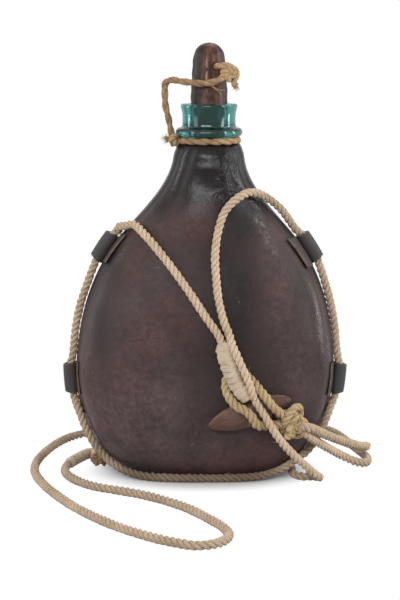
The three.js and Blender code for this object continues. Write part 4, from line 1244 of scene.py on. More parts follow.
def carved_wood(name, finish, dark, light, bright, lie):
    """Wood with long grain that lies one way, smoky patches and painted shade from the piece's own mask, pale
    cut edges that on the stopper also carry painted highlights, and dry pale places.
    """
    material, tree, sockets = new_material(name, *finish)
    grain = effect(tree, GRAIN, **lie)
    # Smoky patches, and the piece's own mask, which on the stopper is painted shade
    smoke_and_shade = product(tree, mottle(tree, *WOOD_SMOKE)["Mask"], SMOKE_SHARE)
    smoke_and_shade = arithmetic(tree, "MAXIMUM", smoke_and_shade, painted_mask(tree, "smoke_and_shade"))
    edge = product(tree, painted_mask(tree, "cut"), mottle(tree, *WOOD_NICKS)["Mask"])
    dry = product(tree, weighted(tree, DRY_TONES, grain["Lines"]), painted_mask(tree, "dry"))
    colour = blend_colour(tree, grain["Lines"], dark, light)
    colour = blend_colour(tree, smoke_and_shade, colour, dark)
    colour = blend_colour(tree, edge, colour, bright)
    feed(tree, sockets["Base Color"], blend_colour(tree, dry, colour, DRY_WOOD))
    set_bump(tree, sockets, grain["Height"], *WOOD_BUMP)
    return material


def teal_glass():
    """Thick teal glass with slight waves."""
    material, tree, sockets = new_material("teal_glass", *GLASS_FINISH)
    sockets["Specular Tint"].default_value = GLASS_GLEAM
    sockets["Base Color"].default_value = GLASS_TEAL
    sockets["Transmission Weight"].default_value = 1.0
    sockets["IOR"].default_value = GLASS_IOR
    set_bump(tree, sockets, mottle(tree, *GLASS_WAVES)["Height"], *GLASS_BUMP)
    return material


COVER_LEATHER = cover_leather()
STRAP_LEATHER = strap_leather()
ROPE = laid_fibre("pale_rope", ROPE_PALE, ROPE_STAIN, ROPE_SHADE, ROPE_WORN_AND_SHADED, ROPE_WORN_SHADE, ROPE_DEEP_SHADE,
                  ROPE_YARNS)
EYE_ROPE = laid_fibre("eye_rope", EYE_PALE, EYE_STAIN, EYE_SHADE, ROPE_WORN_AND_SHADED, ROPE_WORN_SHADE, ROPE_DEEP_SHADE,
                      ROPE_YARNS)
TWINE = laid_fibre("jute_twine", TWINE_GOLD, TWINE_STAIN, TWINE_SHADE, TWINE_WORN, TWINE_SHADE, TWINE_SHADE,
                   TWINE_YARNS)
HITCH_ROPE = laid_fibre("hitch_rope", HITCH_BROWN, HITCH_STAIN, HITCH_SHADE, HITCH_STAIN, HITCH_SHADE,
                        HITCH_SHADE, HITCH_YARNS)
THREAD_WRAP = thread_wrap()
WAXED_THREAD = waxed_thread()
STOPPER_WOOD = carved_wood("stopper_wood", STOPPER_FINISH, STOPPER_DARK, STOPPER_LIGHT, STOPPER_CRACK,
                           STOPPER_GRAIN)
TOGGLE_WOOD = carved_wood("toggle_wood", TOGGLE_FINISH, TOGGLE_DARK, TOGGLE_LIGHT, TOGGLE_EDGE, TOGGLE_GRAIN)
TEAL_GLASS = teal_glass()


# Cords

def trefoil(turns):
    """Trefoil: x is sin t plus 2 sin 2t, y is cos t less 2 cos 2t, and it rises and falls by minus sin 3t."""
    return (np.sin(turns) + 2.0 * np.sin(2.0 * turns), np.cos(turns) - 2.0 * np.cos(2.0 * turns),
            -np.sin(3.0 * turns))


def knot_route(shift):
    """Overhand knot: an open trefoil square to its outward direction, moved sideways in its own plane."""
    outward = unit(KNOT_OUTWARD)
    across = unit(np.cross(outward, UP))
    upward = unit(np.cross(outward, across))
    opened = np.linspace(0.0, TURN - 2.0 * KNOT_OPENING, KNOT_STEPS)
    x, y, rise = trefoil(math.pi + KNOT_OPENING + opened)
    turned_x = x * math.cos(KNOT_TURN) - y * math.sin(KNOT_TURN)
    turned_y = x * math.sin(KNOT_TURN) + y * math.cos(KNOT_TURN)
    flat = turned_x[:, None] * across + turned_y[:, None] * upward + KNOT_RISE * rise[:, None] * outward
    sideways = unit(np.cross(outward, unit(np.gradient(flat, axis=0))))
    return KNOT_CENTRE + KNOT_SIZE * flat + shift * sideways


def lump_route(centre, size, rise, tilt):
    """Tight knot of cord: a small trefoil standing upright, turned about the upright axis."""
    x, y, depth = trefoil(math.pi + np.linspace(LUMP_OPENING, TURN - LUMP_OPENING, KNOT_STEPS))
    depth = rise * depth
    turned_x = x * math.cos(tilt) - depth * math.sin(tilt)
    turned_y = x * math.sin(tilt) + depth * math.cos(tilt)
    return np.asarray(centre) + size * np.stack([turned_x, turned_y, y], axis=1)


def knot_piece(name, routes, body, radius, lay, material, reference, strands=3):
    """Knot of several equal strands of laid cord, as one piece."""
    lie = (radius, lay, reference, strands, KNOT_COLUMNS, KNOT_CREVICE)
    shapes, charts, crowns = zip(*[laid_shape(route, *lie) for route in routes])
    return surface(name, np.stack(shapes), body, material, closed=True, caps=route_ends(routes), uv=charts[0],
                   masks={"crown": crowns[0]})


def rim_route():
    """From inside the seizing down the left side, across the front of the base, up the right side and down
    the right leg beside the seizing."""
    def through(place_of_loop):
        """Places through a loop: from its middle, so far outwards and so far up the rim."""
        origin, outward, upward = place_of_loop
        leads = np.array(LOOP_LEADS)
        return origin + leads[:, 1:] * outward + leads[:, :1] * upward

    def beside(side, spots):
        """Places beside the cover: outside the form at a height and an angle from the seam."""
        spots = np.array(spots)
        angle = spots[:, 1] if side > 0 else math.pi - spots[:, 1]
        return offset_point(share_at(spots[:, 0]), angle, spots[:, 2])

    def half(side, word, start, leg, shoulder, flank):
        """One half: from the seizing up its leg, over the shoulder and through both loops to the base."""
        return np.vstack([start, face_point(leg, FACE_LIFT), shoulder, through(LOOPS[f"upper_{word}"]),
                          beside(side, flank), through(LOOPS[f"lower_{word}"]), beside(side, LOW_PLACES)])

    left = half(-1, "left", LEFT_TUCK, LEFT_LEG, LEFT_SHOULDER, LEFT_SIDE)
    right = half(1, "right", BOUND_LEG, RIGHT_LEG, RIGHT_SHOULDER, RIGHT_SIDE)
    return np.vstack([left, RIM_FRONT, right[::-1]])


def rim_darkening(route):
    """Darkening of the rim cord: none on the legs, some down the sides and over the arches, more at the
    corners, and painted shadow before the base."""
    depth, height = route[:, 1], route[:, 2]
    sides = smoothstep(depth, *SIDE_DEPTH) * (1.0 - smoothstep(height, *SIDE_TOP))
    corners = 1.0 - smoothstep(height, *CORNER_TOP)
    base = (1.0 - smoothstep(height, *BASE_TOP)) * smoothstep(-depth, *BASE_FRONT)
    arch = smoothstep(height, *ARCH_FOOT)
    wear_and_shade = SIDE_DARKENING * sides + ARCH_DARKENING * arch + CORNER_DARKENING * corners + BASE_SHADE * base
    return np.clip(wear_and_shade + wander(lengths(route), WEAR_WANDER, RIM_WAVES), 0.0, 1.0)


def fold_wear_and_shade(route):
    """Darkening of the rear stretch: some past the fold, worn and in painted shade, and deep painted shade
    where it goes under the cover.
    """
    along = lengths(route)
    return FOLD_WEAR_AND_SHADE * smoothstep(along, *FOLD_PLACE) + UNDER_SHADE * smoothstep(along, *UNDER_PLACE)


def floor_wear_and_shade(route):
    """Darkening of the front stretch: worn a little where it lies on the floor, and painted shade behind the
    flask.
    """
    low = 1.0 - smoothstep(route[:, 2], *FLOOR_LIE)
    far = smoothstep(route[:, 1], *BEHIND_PLACE)
    wear_and_shade = low * (FLOOR_WEAR + BEHIND_SHADE * far) + wander(lengths(route), WEAR_WANDER, FLOOR_WAVES)
    return np.clip(wear_and_shade, 0.0, 1.0)


def tail_wear(route):
    """Wear of the tail: a little, even along it."""
    return TAIL_WEAR + wander(lengths(route), WEAR_WANDER, TAIL_WAVES)


rim, rim_line, rim_strand = laid_cord("rim_rope", rim_route(), "canteen", RIM_RADIUS, ROPE_LAY, ROPE, BACK,
                                      worn=rim_darkening)
stand_for(rim, "worn_rope", "rim_cord")

hitch_lines = [lump_route(*lump) for lump in HITCH_LUMPS]
hitch = knot_piece("hitch_knot", hitch_lines, "canteen", HITCH_RADIUS, HITCH_LAY, HITCH_ROPE, UP)
stand_for(hitch, "jute_twine", "sling_hitch")

knot_lines = [knot_route(-KNOT_SPREAD), knot_route(KNOT_SPREAD), lump_route(*KNOT_HEART)]
knot = knot_piece("sling_overhand", knot_lines, "canteen", KNOT_ROPE, ROPE_LAY, EYE_ROPE, KNOT_OUTWARD)
stand_for(knot, "pale_rope", "sling_knot")

rear, rear_line, _ = laid_cord("sling_rear_rope", BOUND_LEG[:1] + SLING_REAR[1:] + REAR_END, "canteen",
                               DIAGONAL_RADIUS, ROPE_LAY, ROPE, BACK, worn=fold_wear_and_shade, follow=rim_strand)
stand_for(rear, "pale_rope", "sling_cord_rear")

front_points = HOOK_START + SLING_HOOK + WHIPPING[1:-1] + SLING_FRONT + FRONT_END
front, front_line, _ = laid_cord("sling_front_rope", front_points, "canteen", ROPE_RADIUS, ROPE_LAY, ROPE, UP,
                                 worn=floor_wear_and_shade)
stand_for(front, "pale_rope", "sling_cord_hook", "sling_cord_front")

eye, eye_line, _ = laid_cord("sling_eye_rope", EYE_START + SLING_EYE + EYE_END, "canteen", EYE_RADIUS,
                             ROPE_LAY, EYE_ROPE, BACK)
stand_for(eye, "pale_rope", "sling_eye")

tail, tail_line, _ = laid_cord("sling_tail_rope", TAIL_START + SLING_TAIL, "canteen", EYE_RADIUS, ROPE_LAY,
                               ROPE, UP, worn=tail_wear)
stand_for(tail, "pale_rope", "sling_tail")


def thread_ripple(along):
    """Ripple along a binding: one low wave for each turn of thread."""
    return THREAD_RIPPLE * np.sin(TURN * along / THREAD_PITCH)


def ringed_radius(along, radius, swell, run_in):
    """Radius of a thread binding: rounded in at both ends, swollen between and rippled by each turn of
    thread."""
    end = np.minimum(along, along[-1] - along)
    smooth = radius + swell * np.sqrt(smoothstep(end, 0.0, run_in))
    return smooth + thread_ripple(along) + wander(along, BINDING_WANDER, BINDING_WAVES)


def whipped_rope():
    """Thread whipping: a round sleeve from the hitch over the hook to the rope's front stretch."""
    route = smooth_route(SLING_HOOK[1:-1] + WHIPPING, BINDING_SPACING)
    along = lengths(route)
    ring = np.repeat(ringed_radius(along, *WHIPPING_SWELL)[:, None], WHIPPING_COLUMNS, axis=1)
    shape = sweep(route, ring, np.zeros(len(route)), UP)
    piece = surface("sling_whipping_thread", shape, "canteen", THREAD_WRAP, closed=True,
                    caps=(route[0], route[-1]), uv=cord_chart(along, BINDING_CHART, WHIPPING_COLUMNS))
    stand_for(piece, "grey_thread", "sling_whipping")


whipped_rope()


# Loose fibres

def fibre_piece(name, body, material, roots, ways, reach, radius, curl):
    """Loose fibres: thin tubes that leave their roots along a direction and curl as the square of the way
    along them."""
    along = np.linspace(0.0, 1.0, FIBRE_STEPS)
    curls = curl * CHANCE.normal(size=roots.shape)
    spines = (roots[:, None] + (along[None, :] * reach[:, None])[..., None] * ways[:, None]
              + (along[None, :] ** 2 * reach[:, None])[..., None] * curls[:, None])
    spines[..., 2] = np.maximum(spines[..., 2], radius)
    tangent = unit(np.gradient(spines, axis=1))
    side = unit(np.cross(tangent, FIBRE_REFERENCE))
    thin = radius * (1.0 - FIBRE_TAPER * along)[None, :, None, None]
    shape = thin_tubes(spines, side, np.cross(tangent, side), thin, FIBRE_SIDES)
    piece = surface(name, shape, body, material, closed=True, caps=(spines[:, 0], spines[:, -1]),
                    masks={"crown": 1.0})


def fuzz_along(name, body, material, slot, routes, radius, count, reach, thickness):
    """Fibres that stand off cords at random places, leaning along them."""
    line = np.vstack(routes)
    tangents = np.vstack([unit(np.gradient(route, axis=0)) for route in routes])
    picks = CHANCE.integers(0, len(line), count)
    tangent = tangents[picks]
    outward = unit(np.cross(tangent, CHANCE.normal(size=(count, 3))))
    forward = tangent * np.sign(CHANCE.normal(size=(count, 1)))
    ways = unit(forward + CHANCE.uniform(*FUZZ_STAND, (count, 1)) * outward)
    reaches = reach * CHANCE.uniform(*FUZZ_REACH, count)
    roots = line[picks] + FUZZ_ROOT * radius * outward
    high = roots[:, 2] + reaches * ways[:, 2] > FLOOR_CLEAR
    fibre_piece(name, body, material, roots[high], ways[high], reaches[high], thickness, FUZZ_CURL)


def tuft(name, body, material, slot, centre, way, spread, count, reach, thickness):
    """Frayed end: fibres that fan out from a centre about one direction."""
    ways = unit(unit(np.asarray(way, float)) + spread * CHANCE.normal(size=(count, 3)))
    roots = np.asarray(centre) + TUFT_WIDTH * CHANCE.normal(size=(count, 3))
    reaches = reach * CHANCE.uniform(*TUFT_REACH, count)
    fibre_piece(name, body, material, roots, ways, reaches, thickness, TUFT_CURL)


rope_lines = [rim_line, rear_line, front_line, eye_line, tail_line]
fuzz_along("rope_fuzz", "canteen", ROPE, "pale_rope", rope_lines, ROPE_RADIUS, *ROPE_FUZZ)
tail_way = tail_line[-1] - tail_line[-4]
tuft("tail_fray", "canteen", ROPE, "pale_rope", tail_line[-1], tail_way, *TAIL_FRAY)


# Leather cover

def tones(shape, places):
    """Mask of soft round places: the sum of a bell about each, across and up, at its strength."""
    bells = sum(strength * np.exp(-((shape[..., 0] - x) / wide) ** 2 - ((shape[..., 2] - z) / tall) ** 2)
                for x, z, wide, tall, strength in places)
    return np.clip(bells, 0.0, 1.0)


def leather_dents(point, height, angle):
    """Unevenness of the cover: crossed and slanting sines that fade to the flat base, sines round the
    wrinkled neck, and the swell of the shoulder."""
    x, z = point[..., 0], point[..., 2]
    crossed = np.sin(x * DENT_ACROSS[0] + DENT_ACROSS[1]) * np.sin(z * DENT_UP[0] + DENT_UP[1])
    slanting = np.sin(x * DENT_SLANT[0] + z * DENT_SLANT[1])
    dents = DENT_HEIGHT * (crossed + slanting) * smoothstep(height, *FLAT_BASE)
    creases = sum(size * np.sin(waves * angle + climb * height + start)
                  for size, waves, climb, start in CREASES)
    return dents + creases * tones(point, WRINKLED_PLACES) + SWELL_HEIGHT * tones(point, SHOULDER_SWELL)


def leather_half(name, towards_front, node):
    """Half of the cover: the form's grid from a rolled top edge to the base, lowered to a groove and raised
    to a ridge beside the seam, spread open where a loop's tongue passes, and carried across the base to the
    seam."""
    share = np.linspace(1.0, 0.0, LEATHER_ROWS)[:, None]
    _, height, half_depth, power = section(share)
    opening = np.zeros_like(share)
    for loop_height in (UPPER_LOOP_HEIGHT, LOWER_LOOP_HEIGHT):
        reach = np.abs(share - share_at(loop_height)) * OUTLINE_LENGTH
        closing = smoothstep(reach, LOOP_LENGTH / 2.0, LOOP_LENGTH / 2.0 + SLOT_RUN_OUT)
        opening = np.maximum(opening, 1.0 - closing)
    gap = mix(SEAM_GAP, SLOT_GAP, opening)
    near = seam_angle(gap + np.array(SEAM_STEPS), half_depth, power)
    inner = mix(near[:, -1:], math.pi - near[:, -1:], np.linspace(0.0, 1.0, LEATHER_COLUMNS)[None, 1:-1])
    angle = np.hstack([near, inner, math.pi - near[:, ::-1]])
    away = half_depth * np.abs(np.sin(angle)) ** (2.0 / power) - gap
    ridge = SEAM_RIDGE + LOW_RIDGE * (1.0 - smoothstep(height, *LOW_RIDGE_END))
    ridge = ridge * smoothstep(height, *RIDGE_RISE) * (1.0 - smoothstep(height, *RIDGE_END))
    lift = mix(-GROOVE_DEPTH, ridge, smoothstep(away, *GROOVE_SIDE)) - ridge * smoothstep(away, *RIDGE_SIDE)
    valley = np.exp(-((away - VALLEY_PLACE) / VALLEY_WIDTH) ** 2) * smoothstep(height, *VALLEY_RISE)
    lift = lift - VALLEY_DEPTH * valley
    point = form_point(share, angle)
    lift = lift + leather_dents(point, height, angle) * smoothstep(away, *DENT_SIDE)
    shape = point + lift[..., None] * form_normal(share, angle)
    rim = shape[0]
    outward = unit((rim - np.array([NECK_LEAN, 0.0, 0.0])) * np.array([1.0, 1.0, 0.0]))
    roll = np.array(TOP_ROLL)
    lip = rim + roll[:, None, :1] * outward + roll[:, None, 1:] * UP
    edge = shape[-1]
    sink = np.linspace(0.0, 1.0, BASE_ROWS)[1:, None]
    drawn_in = edge[:, 0] * mix(1.0, BASE_DRAW, sink)
    base = np.stack(np.broadcast_arrays(drawn_in, mix(edge[:, 1], -SEAM_GAP, sink), edge[:, 2]), axis=-1)
    base[..., 2] = GROOVE_DEPTH * (1.0 - smoothstep(np.abs(base[..., 1]), SEAM_GAP, BASE_GROOVE))
    shape = np.concatenate([lip, shape, base])
    rims = ((len(lip), len(base)), (0, 0))
    # Painted shade in a band beside the seam on the upper sides, joined to the black places
    seam_shade = (1.0 - smoothstep(away, *SEAM_SHADE)) * smoothstep(height, *SEAM_SHADE_RISE)
    # Warmer, black and rubbed places paint sheen, shade and a glossy streak as well as tones of the leather
    masks = {
        "neck": smoothstep(shape[..., 2], *NECK_GLOSS),
        "seam": 1.0 - smoothstep(np.pad(away, rims, mode="edge"), *SEAM_DUST),
        "warm_and_sheen": tones(shape, WARM_AND_SHEEN_PLACES),
        "black": np.maximum(tones(shape, BLACK_AND_SHADE_PLACES), np.pad(seam_shade, rims, mode="edge")),
        "rub_and_sheen": tones(shape, SCUFF_AND_SHEEN_PLACES),
        "wrinkled": tones(shape, WRINKLED_PLACES),
        "polish": tones(shape, POLISHED_PLACES),
    }
    if not towards_front:
        shape, masks = turned_over(shape * np.array([1.0, -1.0, 1.0]), masks)
    piece = surface(name, shape, "canteen", COVER_LEATHER, masks=masks)
    thicken(piece, LEATHER, -1.0)
    stand_for(piece, "cover_leather", node)


leather_half("leather_front", True, "leather_front_panel")
leather_half("leather_back", False, "leather_back_panel")


# Stitches in the seam's groove

def stitch_run(name, node, route):
    """Running stitches: short threads in a row, each a bent tube that dives into the leather at both ends by
    a fourth power."""
    along = lengths(route)
    count = int(along[-1] // STITCH_PITCH)
    margin = along[-1] - count * STITCH_PITCH + STITCH_PITCH - STITCH_LENGTH
    starts = margin / 2.0 + np.arange(count) * STITCH_PITCH
    steps = np.linspace(0.0, 1.0, STITCH_STEPS)
    at = starts[:, None] + STITCH_LENGTH * steps
    centre = np.stack([np.interp(at, along, route[:, axis]) for axis in range(3)], axis=-1)
    tangent = unit(np.gradient(centre, axis=1))
    side = np.broadcast_to(BACK, tangent.shape)
    up = np.cross(tangent, side)
    middle = np.array([NECK_LEAN / 2.0, 0.0, WIDEST_HEIGHT])
    inward = up * np.sign(np.sum(up * (middle - centre), axis=-1, keepdims=True))
    dive = STITCH_DIVE * (2.0 * steps - 1.0) ** 4 - STITCH_PROUD
    centre = centre + dive[None, :, None] * inward
    shape = thin_tubes(centre, side, up, THREAD_RADIUS, STITCH_SIDES)
    piece = surface(name, shape, "canteen", WAXED_THREAD, closed=True, caps=(centre[:, 0], centre[:, -1]))
    stand_for(piece, "seam_thread", node)


def groove_route(side, low, high):
    """Line in the seam's groove between two heights on one side."""
    share = np.linspace(float(share_at(low)), float(share_at(high)), GROOVE_STEPS)
    angle = np.full_like(share, 0.0 if side > 0 else math.pi)
    return offset_point(share, angle, np.full_like(share, -THREAD_DEPTH))


def stitch_seams():
    """Stitches in the five runs between the loops' tongues."""
    clear = LOOP_LENGTH / 2.0 + STITCH_CLEAR
    rise = clear * LOOPS["upper_right"][2][2]
    for side, word in ((1, "right"), (-1, "left")):
        neck = groove_route(side, UPPER_LOOP_HEIGHT + rise, NECK_FOOT[1])
        flank = groove_route(side, LOWER_LOOP_HEIGHT + clear, UPPER_LOOP_HEIGHT - rise)
        stitch_run(f"stitches_{word}_neck", f"seam_thread_{word}_neck", neck)
        stitch_run(f"stitches_{word}_side", f"seam_thread_{word}_side", flank)
    right = groove_route(1, LOWER_LOOP_HEIGHT - clear, 0.0)
    left = groove_route(-1, LOWER_LOOP_HEIGHT - clear, 0.0)
    under = mix(right[-1], left[-1], np.linspace(0.0, 1.0, UNDER_STEPS)[1:-1, None])
    stitch_run("stitches_base", "seam_thread_base", np.vstack([right, under, left[::-1]]))


stitch_seams()


# Cord loops

def cord_loop(word, place_of_loop):
    """Strap folded round the rim cord: a tongue out of the seam, a round bend and the tongue back, carried
    along the rim, with rounded corners where it is cut."""
    origin, outward, upward = place_of_loop
    bend = np.linspace(LOOP_SWEEP, -LOOP_SWEEP, LOOP_STEPS)
    turn = np.stack([LOOP_REACH + LOOP_BEND * np.cos(bend), LOOP_BEND * np.sin(bend)], axis=1)
    foot = np.array(LOOP_FOOT)
    profile = smooth_route(np.vstack([foot, turn, foot[::-1] * np.array([1.0, -1.0])]), LOOP_SPACING)
    along = np.linspace(-0.5, 0.5, LOOP_COLUMNS)
    far = smoothstep(profile[:, 0], LOOP_FAR, LOOP_REACH + LOOP_BEND)[:, None]
    length = LOOP_LENGTH * (1.0 - LOOP_NARROW * far ** 3)
    bulge = LOOP_BULGE * np.cos(math.pi * along)[None, :] * far
    across = np.cross(upward, outward)
    shape = (origin + (profile[:, :1] + bulge)[..., None] * outward + profile[:, None, 1, None] * across
             + (length * along[None, :])[..., None] * upward)
    waved = profile[:, :1] + TONGUE_WAVE[0] * np.cos(TONGUE_WAVE[1] * along)[None, :]
    rubbed = LOOP_RUB * smoothstep(np.abs(along), *LOOP_RUBBED)[None, :]
    masks = {"tongue": 1.0 - smoothstep(waved, *TONGUE_END), "edge": rubbed}
    piece = surface(f"strap_loop_{word}", shape, "canteen", STRAP_LEATHER, masks=masks)
    thicken(piece, LOOP_STRAP, 0.0)
    edge = piece.modifiers.new("edge", "BEVEL")
    edge.width = LOOP_ROUNDING * MM
    edge.segments = LOOP_ROUNDING_STEPS
    edge.limit_method = "ANGLE"
    stand_for(piece, "strap_leather", f"cord_loop_{word}")


def strap_flap(word, height, reach, shift):
    """Strap end sewn down beside the seam: a strip of the cover's form, set out by a lift, from the seam to
    its reach over the front."""
    on_right = word.endswith("right")
    middle = float(share_at(height)) + shift / OUTLINE_LENGTH
    half = 0.5 * FLAP_LENGTH / OUTLINE_LENGTH
    share = np.linspace(middle - half, middle + half, FLAP_ROWS)[:, None]
    _, _, half_depth, power = section(share)
    depth = np.linspace(SLOT_GAP - FLAP_TUCK, reach, FLAP_COLUMNS)[None, :]
    angle = seam_angle(depth, half_depth, power)
    angle = angle if on_right else math.pi - angle
    shape = offset_point(share, angle, np.full(angle.shape, FLAP_LIFT))
    masks = {"tongue": smoothstep(depth, *FLAP_BROWN),
             "edge": smoothstep(depth, reach - FLAP_CUT[0], reach - FLAP_CUT[1])}
    if on_right:
        shape, masks = turned_over(shape, masks)
    piece = surface(f"strap_flap_{word}", shape, "canteen", STRAP_LEATHER, masks=masks)
    thicken(piece, FLAP_THICKNESS, 1.0)
    stand_for(piece, "strap_leather", f"cord_loop_{word}")


for loop_word, loop_spot in LOOPS.items():
    cord_loop(loop_word, loop_spot)
    flap_height = UPPER_LOOP_HEIGHT if loop_word.startswith("upper") else LOWER_LOOP_HEIGHT
    strap_flap(loop_word, flap_height, *FLAPS[loop_word])


# Seizing and toggle

def seizing_binding():
    """Thread binding down the left of the two legs: an oval sleeve along the seizing's line."""
    stations = smooth_route(SEIZING, BINDING_SPACING)
    centre, half_width = stations[:, :3], stations[:, 3]
    along = lengths(centre)
    tangent = unit(np.gradient(centre, axis=0))
    wide = unit(np.cross(-BACK, tangent))
    thick = np.cross(tangent, wide)
    ripple = thread_ripple(along)
    share = ringed_radius(along, *SEIZING_SWELL) - ripple
    turn = round_angles(SEIZING_COLUMNS)
    across = (half_width * share + ripple)[:, None] * np.cos(turn)
    depth = (SEIZING_HALF_DEPTH * share + ripple)[:, None] * np.sin(turn)
    shape = centre[:, None] + across[..., None] * wide[:, None] + depth[..., None] * thick[:, None]
    # Painted shade in lines where turns of thread stand open
    slanted = along[:, None] - OPEN_SLANT * np.cos(turn)
    gaps = sum(np.exp(-((slanted - at) / OPEN_WIDTH) ** 2) for at in OPEN_TURNS)
    gaps = gaps * (1.0 - smoothstep(np.cos(turn), *OPEN_SIDE))
    piece = surface("seizing_thread", shape, "canteen", THREAD_WRAP, closed=True,
                    caps=(centre[0], centre[-1]), uv=cord_chart(along, BINDING_CHART, SEIZING_COLUMNS),
                    masks={"gap": gaps})
    stand_for(piece, "grey_thread", "cord_seizing")


def leaf_toggle():
    """Leaf toggle: an oval section whose width and thickness swell along the axis by powers of a sine, its
    lower front edge cut off by a flat bevel."""
    axis = TOGGLE_RIGHT - TOGGLE_LEFT
    wide = unit(np.cross(-BACK, axis))
    thick = np.cross(unit(axis), wide)
    share = (1.0 - np.cos(np.linspace(TOGGLE_TIP, math.pi - TOGGLE_TIP, TOGGLE_ROWS))) / 2.0
    swell = np.sin(math.pi * share) ** TOGGLE_SWELL
    turn = round_angles(TOGGLE_COLUMNS)
    oval_wide = np.sign(np.cos(turn)) * np.abs(np.cos(turn)) ** TOGGLE_ROUND
    oval_thick = np.sign(np.sin(turn)) * np.abs(np.sin(turn)) ** TOGGLE_ROUND
    bevel = smoothstep(oval_wide, *BEVEL_LOW) * smoothstep(oval_thick, *BEVEL_FRONT)
    oval_thick = oval_thick * (1.0 - BEVEL_CUT * bevel)
    across = TOGGLE_HALF_WIDTH * swell[:, None] * oval_wide
    depth = TOGGLE_HALF_THICKNESS * swell[:, None] * oval_thick
    shape = TOGGLE_LEFT + share[:, None, None] * axis + across[..., None] * wide + depth[..., None] * thick
    masks = {"cut": TOGGLE_RUB * smoothstep(oval_wide, *TOGGLE_RUBBED)[None, :],
             "smoke_and_shade": TOGGLE_END_DARKENING * smoothstep(share, *TOGGLE_DARKER_END)[:, None]}
    piece = surface("toggle_leaf", shape, "toggle", TOGGLE_WOOD, closed=True,
                    caps=(TOGGLE_LEFT, TOGGLE_RIGHT), masks=masks)
    stand_for(piece, "toggle_wood", "toggle")


seizing_binding()
leaf_toggle()


# Glass flask and stopper

def round_the_neck(half_width, half_depth, height, angle):
    """Rings of points about the neck's axis."""
    rings = np.broadcast_arrays(NECK_LEAN + half_width * np.cos(angle), half_depth * np.sin(angle), height)
    return np.stack(rings, axis=-1)


def glass_flask():
    """Flask as one skin: the cover's form set in by the gap, a profile turned about the neck over the lip and
    down the bore, and the form set in by the gap and the wall."""
    angle = -round_angles(GLASS_COLUMNS)[None, :]
    outer = np.linspace(0.0, float(share_at(GLASS_TOP)), GLASS_ROWS)[:, None]
    outside = offset_point(outer, angle, np.full((GLASS_ROWS, GLASS_COLUMNS), -GLASS_GAP))
    profile = smooth_route(GLASS_NECK, LIP_SPACING)
    neck = round_the_neck(profile[:, :1], -profile[:, :1], profile[:, 1:], angle)
    inner = np.linspace(float(share_at(INNER_TOP)), 0.0, INNER_ROWS)[:, None]
    inset = GLASS_GAP + mix(GLASS, NECK_GLASS, smoothstep(section(inner)[1], *THICKEN))
    inside = offset_point(inner, angle, -np.broadcast_to(inset, (INNER_ROWS, GLASS_COLUMNS)))
    shape = np.concatenate([outside, neck, inside])
    piece = surface("glass_bottle", shape, "canteen", TEAL_GLASS, closed=True,
                    caps=((0.0, 0.0, GLASS_GAP), (0.0, 0.0, GLASS_GAP + GLASS)))
    stand_for(piece, "teal_glass", "glass_flask")


def drill_holes(piece):
    """Blind cross hole from each side: round rods cut out of the stopper."""
    for depths in HOLE_DEPTHS:
        ends = [(NECK_LEAN + HOLE_OFFSET, depth, HOLE_HEIGHT) for depth in depths]
        drill = smooth_route(ends, HOLE_SPACING)
        rod = plain_tube(drill, HOLE_RADIUS, HOLE_SIDES, UP)
        cutter = surface("hole_cutter", rod, None, STOPPER_WOOD, closed=True, caps=(drill[0], drill[-1]))
        cut = piece.modifiers.new("hole", "BOOLEAN")
        cut.object = cutter
        cut.operation = "DIFFERENCE"
        seen = piece.evaluated_get(bpy.context.evaluated_depsgraph_get())
        drilled = bpy.data.meshes.new_from_object(seen)
        piece.modifiers.clear()
        piece.data = drilled
        bpy.data.objects.remove(cutter)


def carved_stopper():
    """Stopper: oval stations up the axis, cut above the lip by flat faces of uneven reach whose corners round
    off by a power mean, with a split down the front and a blind hole from each side."""
    stations = smooth_route(STOPPER_STATIONS, STOPPER_SPACING)
    height, half_width, half_depth = stations[:, :1], stations[:, 1:2], stations[:, 2:]
    turn = round_angles(STOPPER_COLUMNS)[None, :]
    faces = np.array(STOPPER_FACES)
    drift = FACE_DRIFT[0] * np.sin(height * FACE_DRIFT[1])
    slant = np.cos((turn + drift)[..., None] - np.radians(faces[:, 0]))
    slant = np.maximum(slant, 0.0) / faces[:, 1]
    flat = np.sum(slant ** FACE_POWER, axis=-1) ** (-1.0 / FACE_POWER)
    carve = smoothstep(height, *CARVED)
    nick = NICK_DEPTH * np.sin(NICK_WAVES[0] * turn + height * NICK_WAVES[1])
    line = CRACK_ANGLE + CRACK_SWAY[0] * np.sin(height * CRACK_SWAY[1])
    along_crack = smoothstep(height, *CRACK_OPENS) - smoothstep(height, *CRACK_CLOSES)
    split = np.exp(-((turn - line) / CRACK_WIDTH) ** 2) * along_crack
    radius = mix(1.0, flat + nick, carve) - CRACK_DEPTH * split
    shape = round_the_neck(half_width * radius, half_depth * radius, height, turn)
    corner = smoothstep(flat, *CORNER_REACH) * carve
    # Painted highlight on the corners of the faces, and painted shade round all but the lit front side
    masks = {
        "cut": np.maximum(split, CORNER_HIGHLIGHT * corner),
        "smoke_and_shade": SIDE_SHADE_SHARE * (1.0 - smoothstep(np.cos(turn - LIT_SIDE), *LIT_REACH)),
        "dry": 1.0 - smoothstep(height, *DRY_BELOW),
    }
    foot = (NECK_LEAN, 0.0, STOPPER_STATIONS[0][0])
    piece = surface("stopper_peg", shape, "stopper", STOPPER_WOOD, closed=True,
                    caps=(foot, (NECK_LEAN, 0.0, STOPPER_TOP)), masks=masks)
    drill_holes(piece)
    stand_for(piece, "stopper_wood", "stopper")


glass_flask()
carved_stopper()


# Twine

def neck_ring_route():
    """Ring of twine under the glass string ring, open at the left for its knot."""
    angle = np.linspace(math.pi + NECK_RING_GAP, 3.0 * math.pi - NECK_RING_GAP, NECK_RING_STEPS)
    return round_the_neck(NECK_RING_RADIUS, NECK_RING_RADIUS, NECK_RING_HEIGHT, angle)


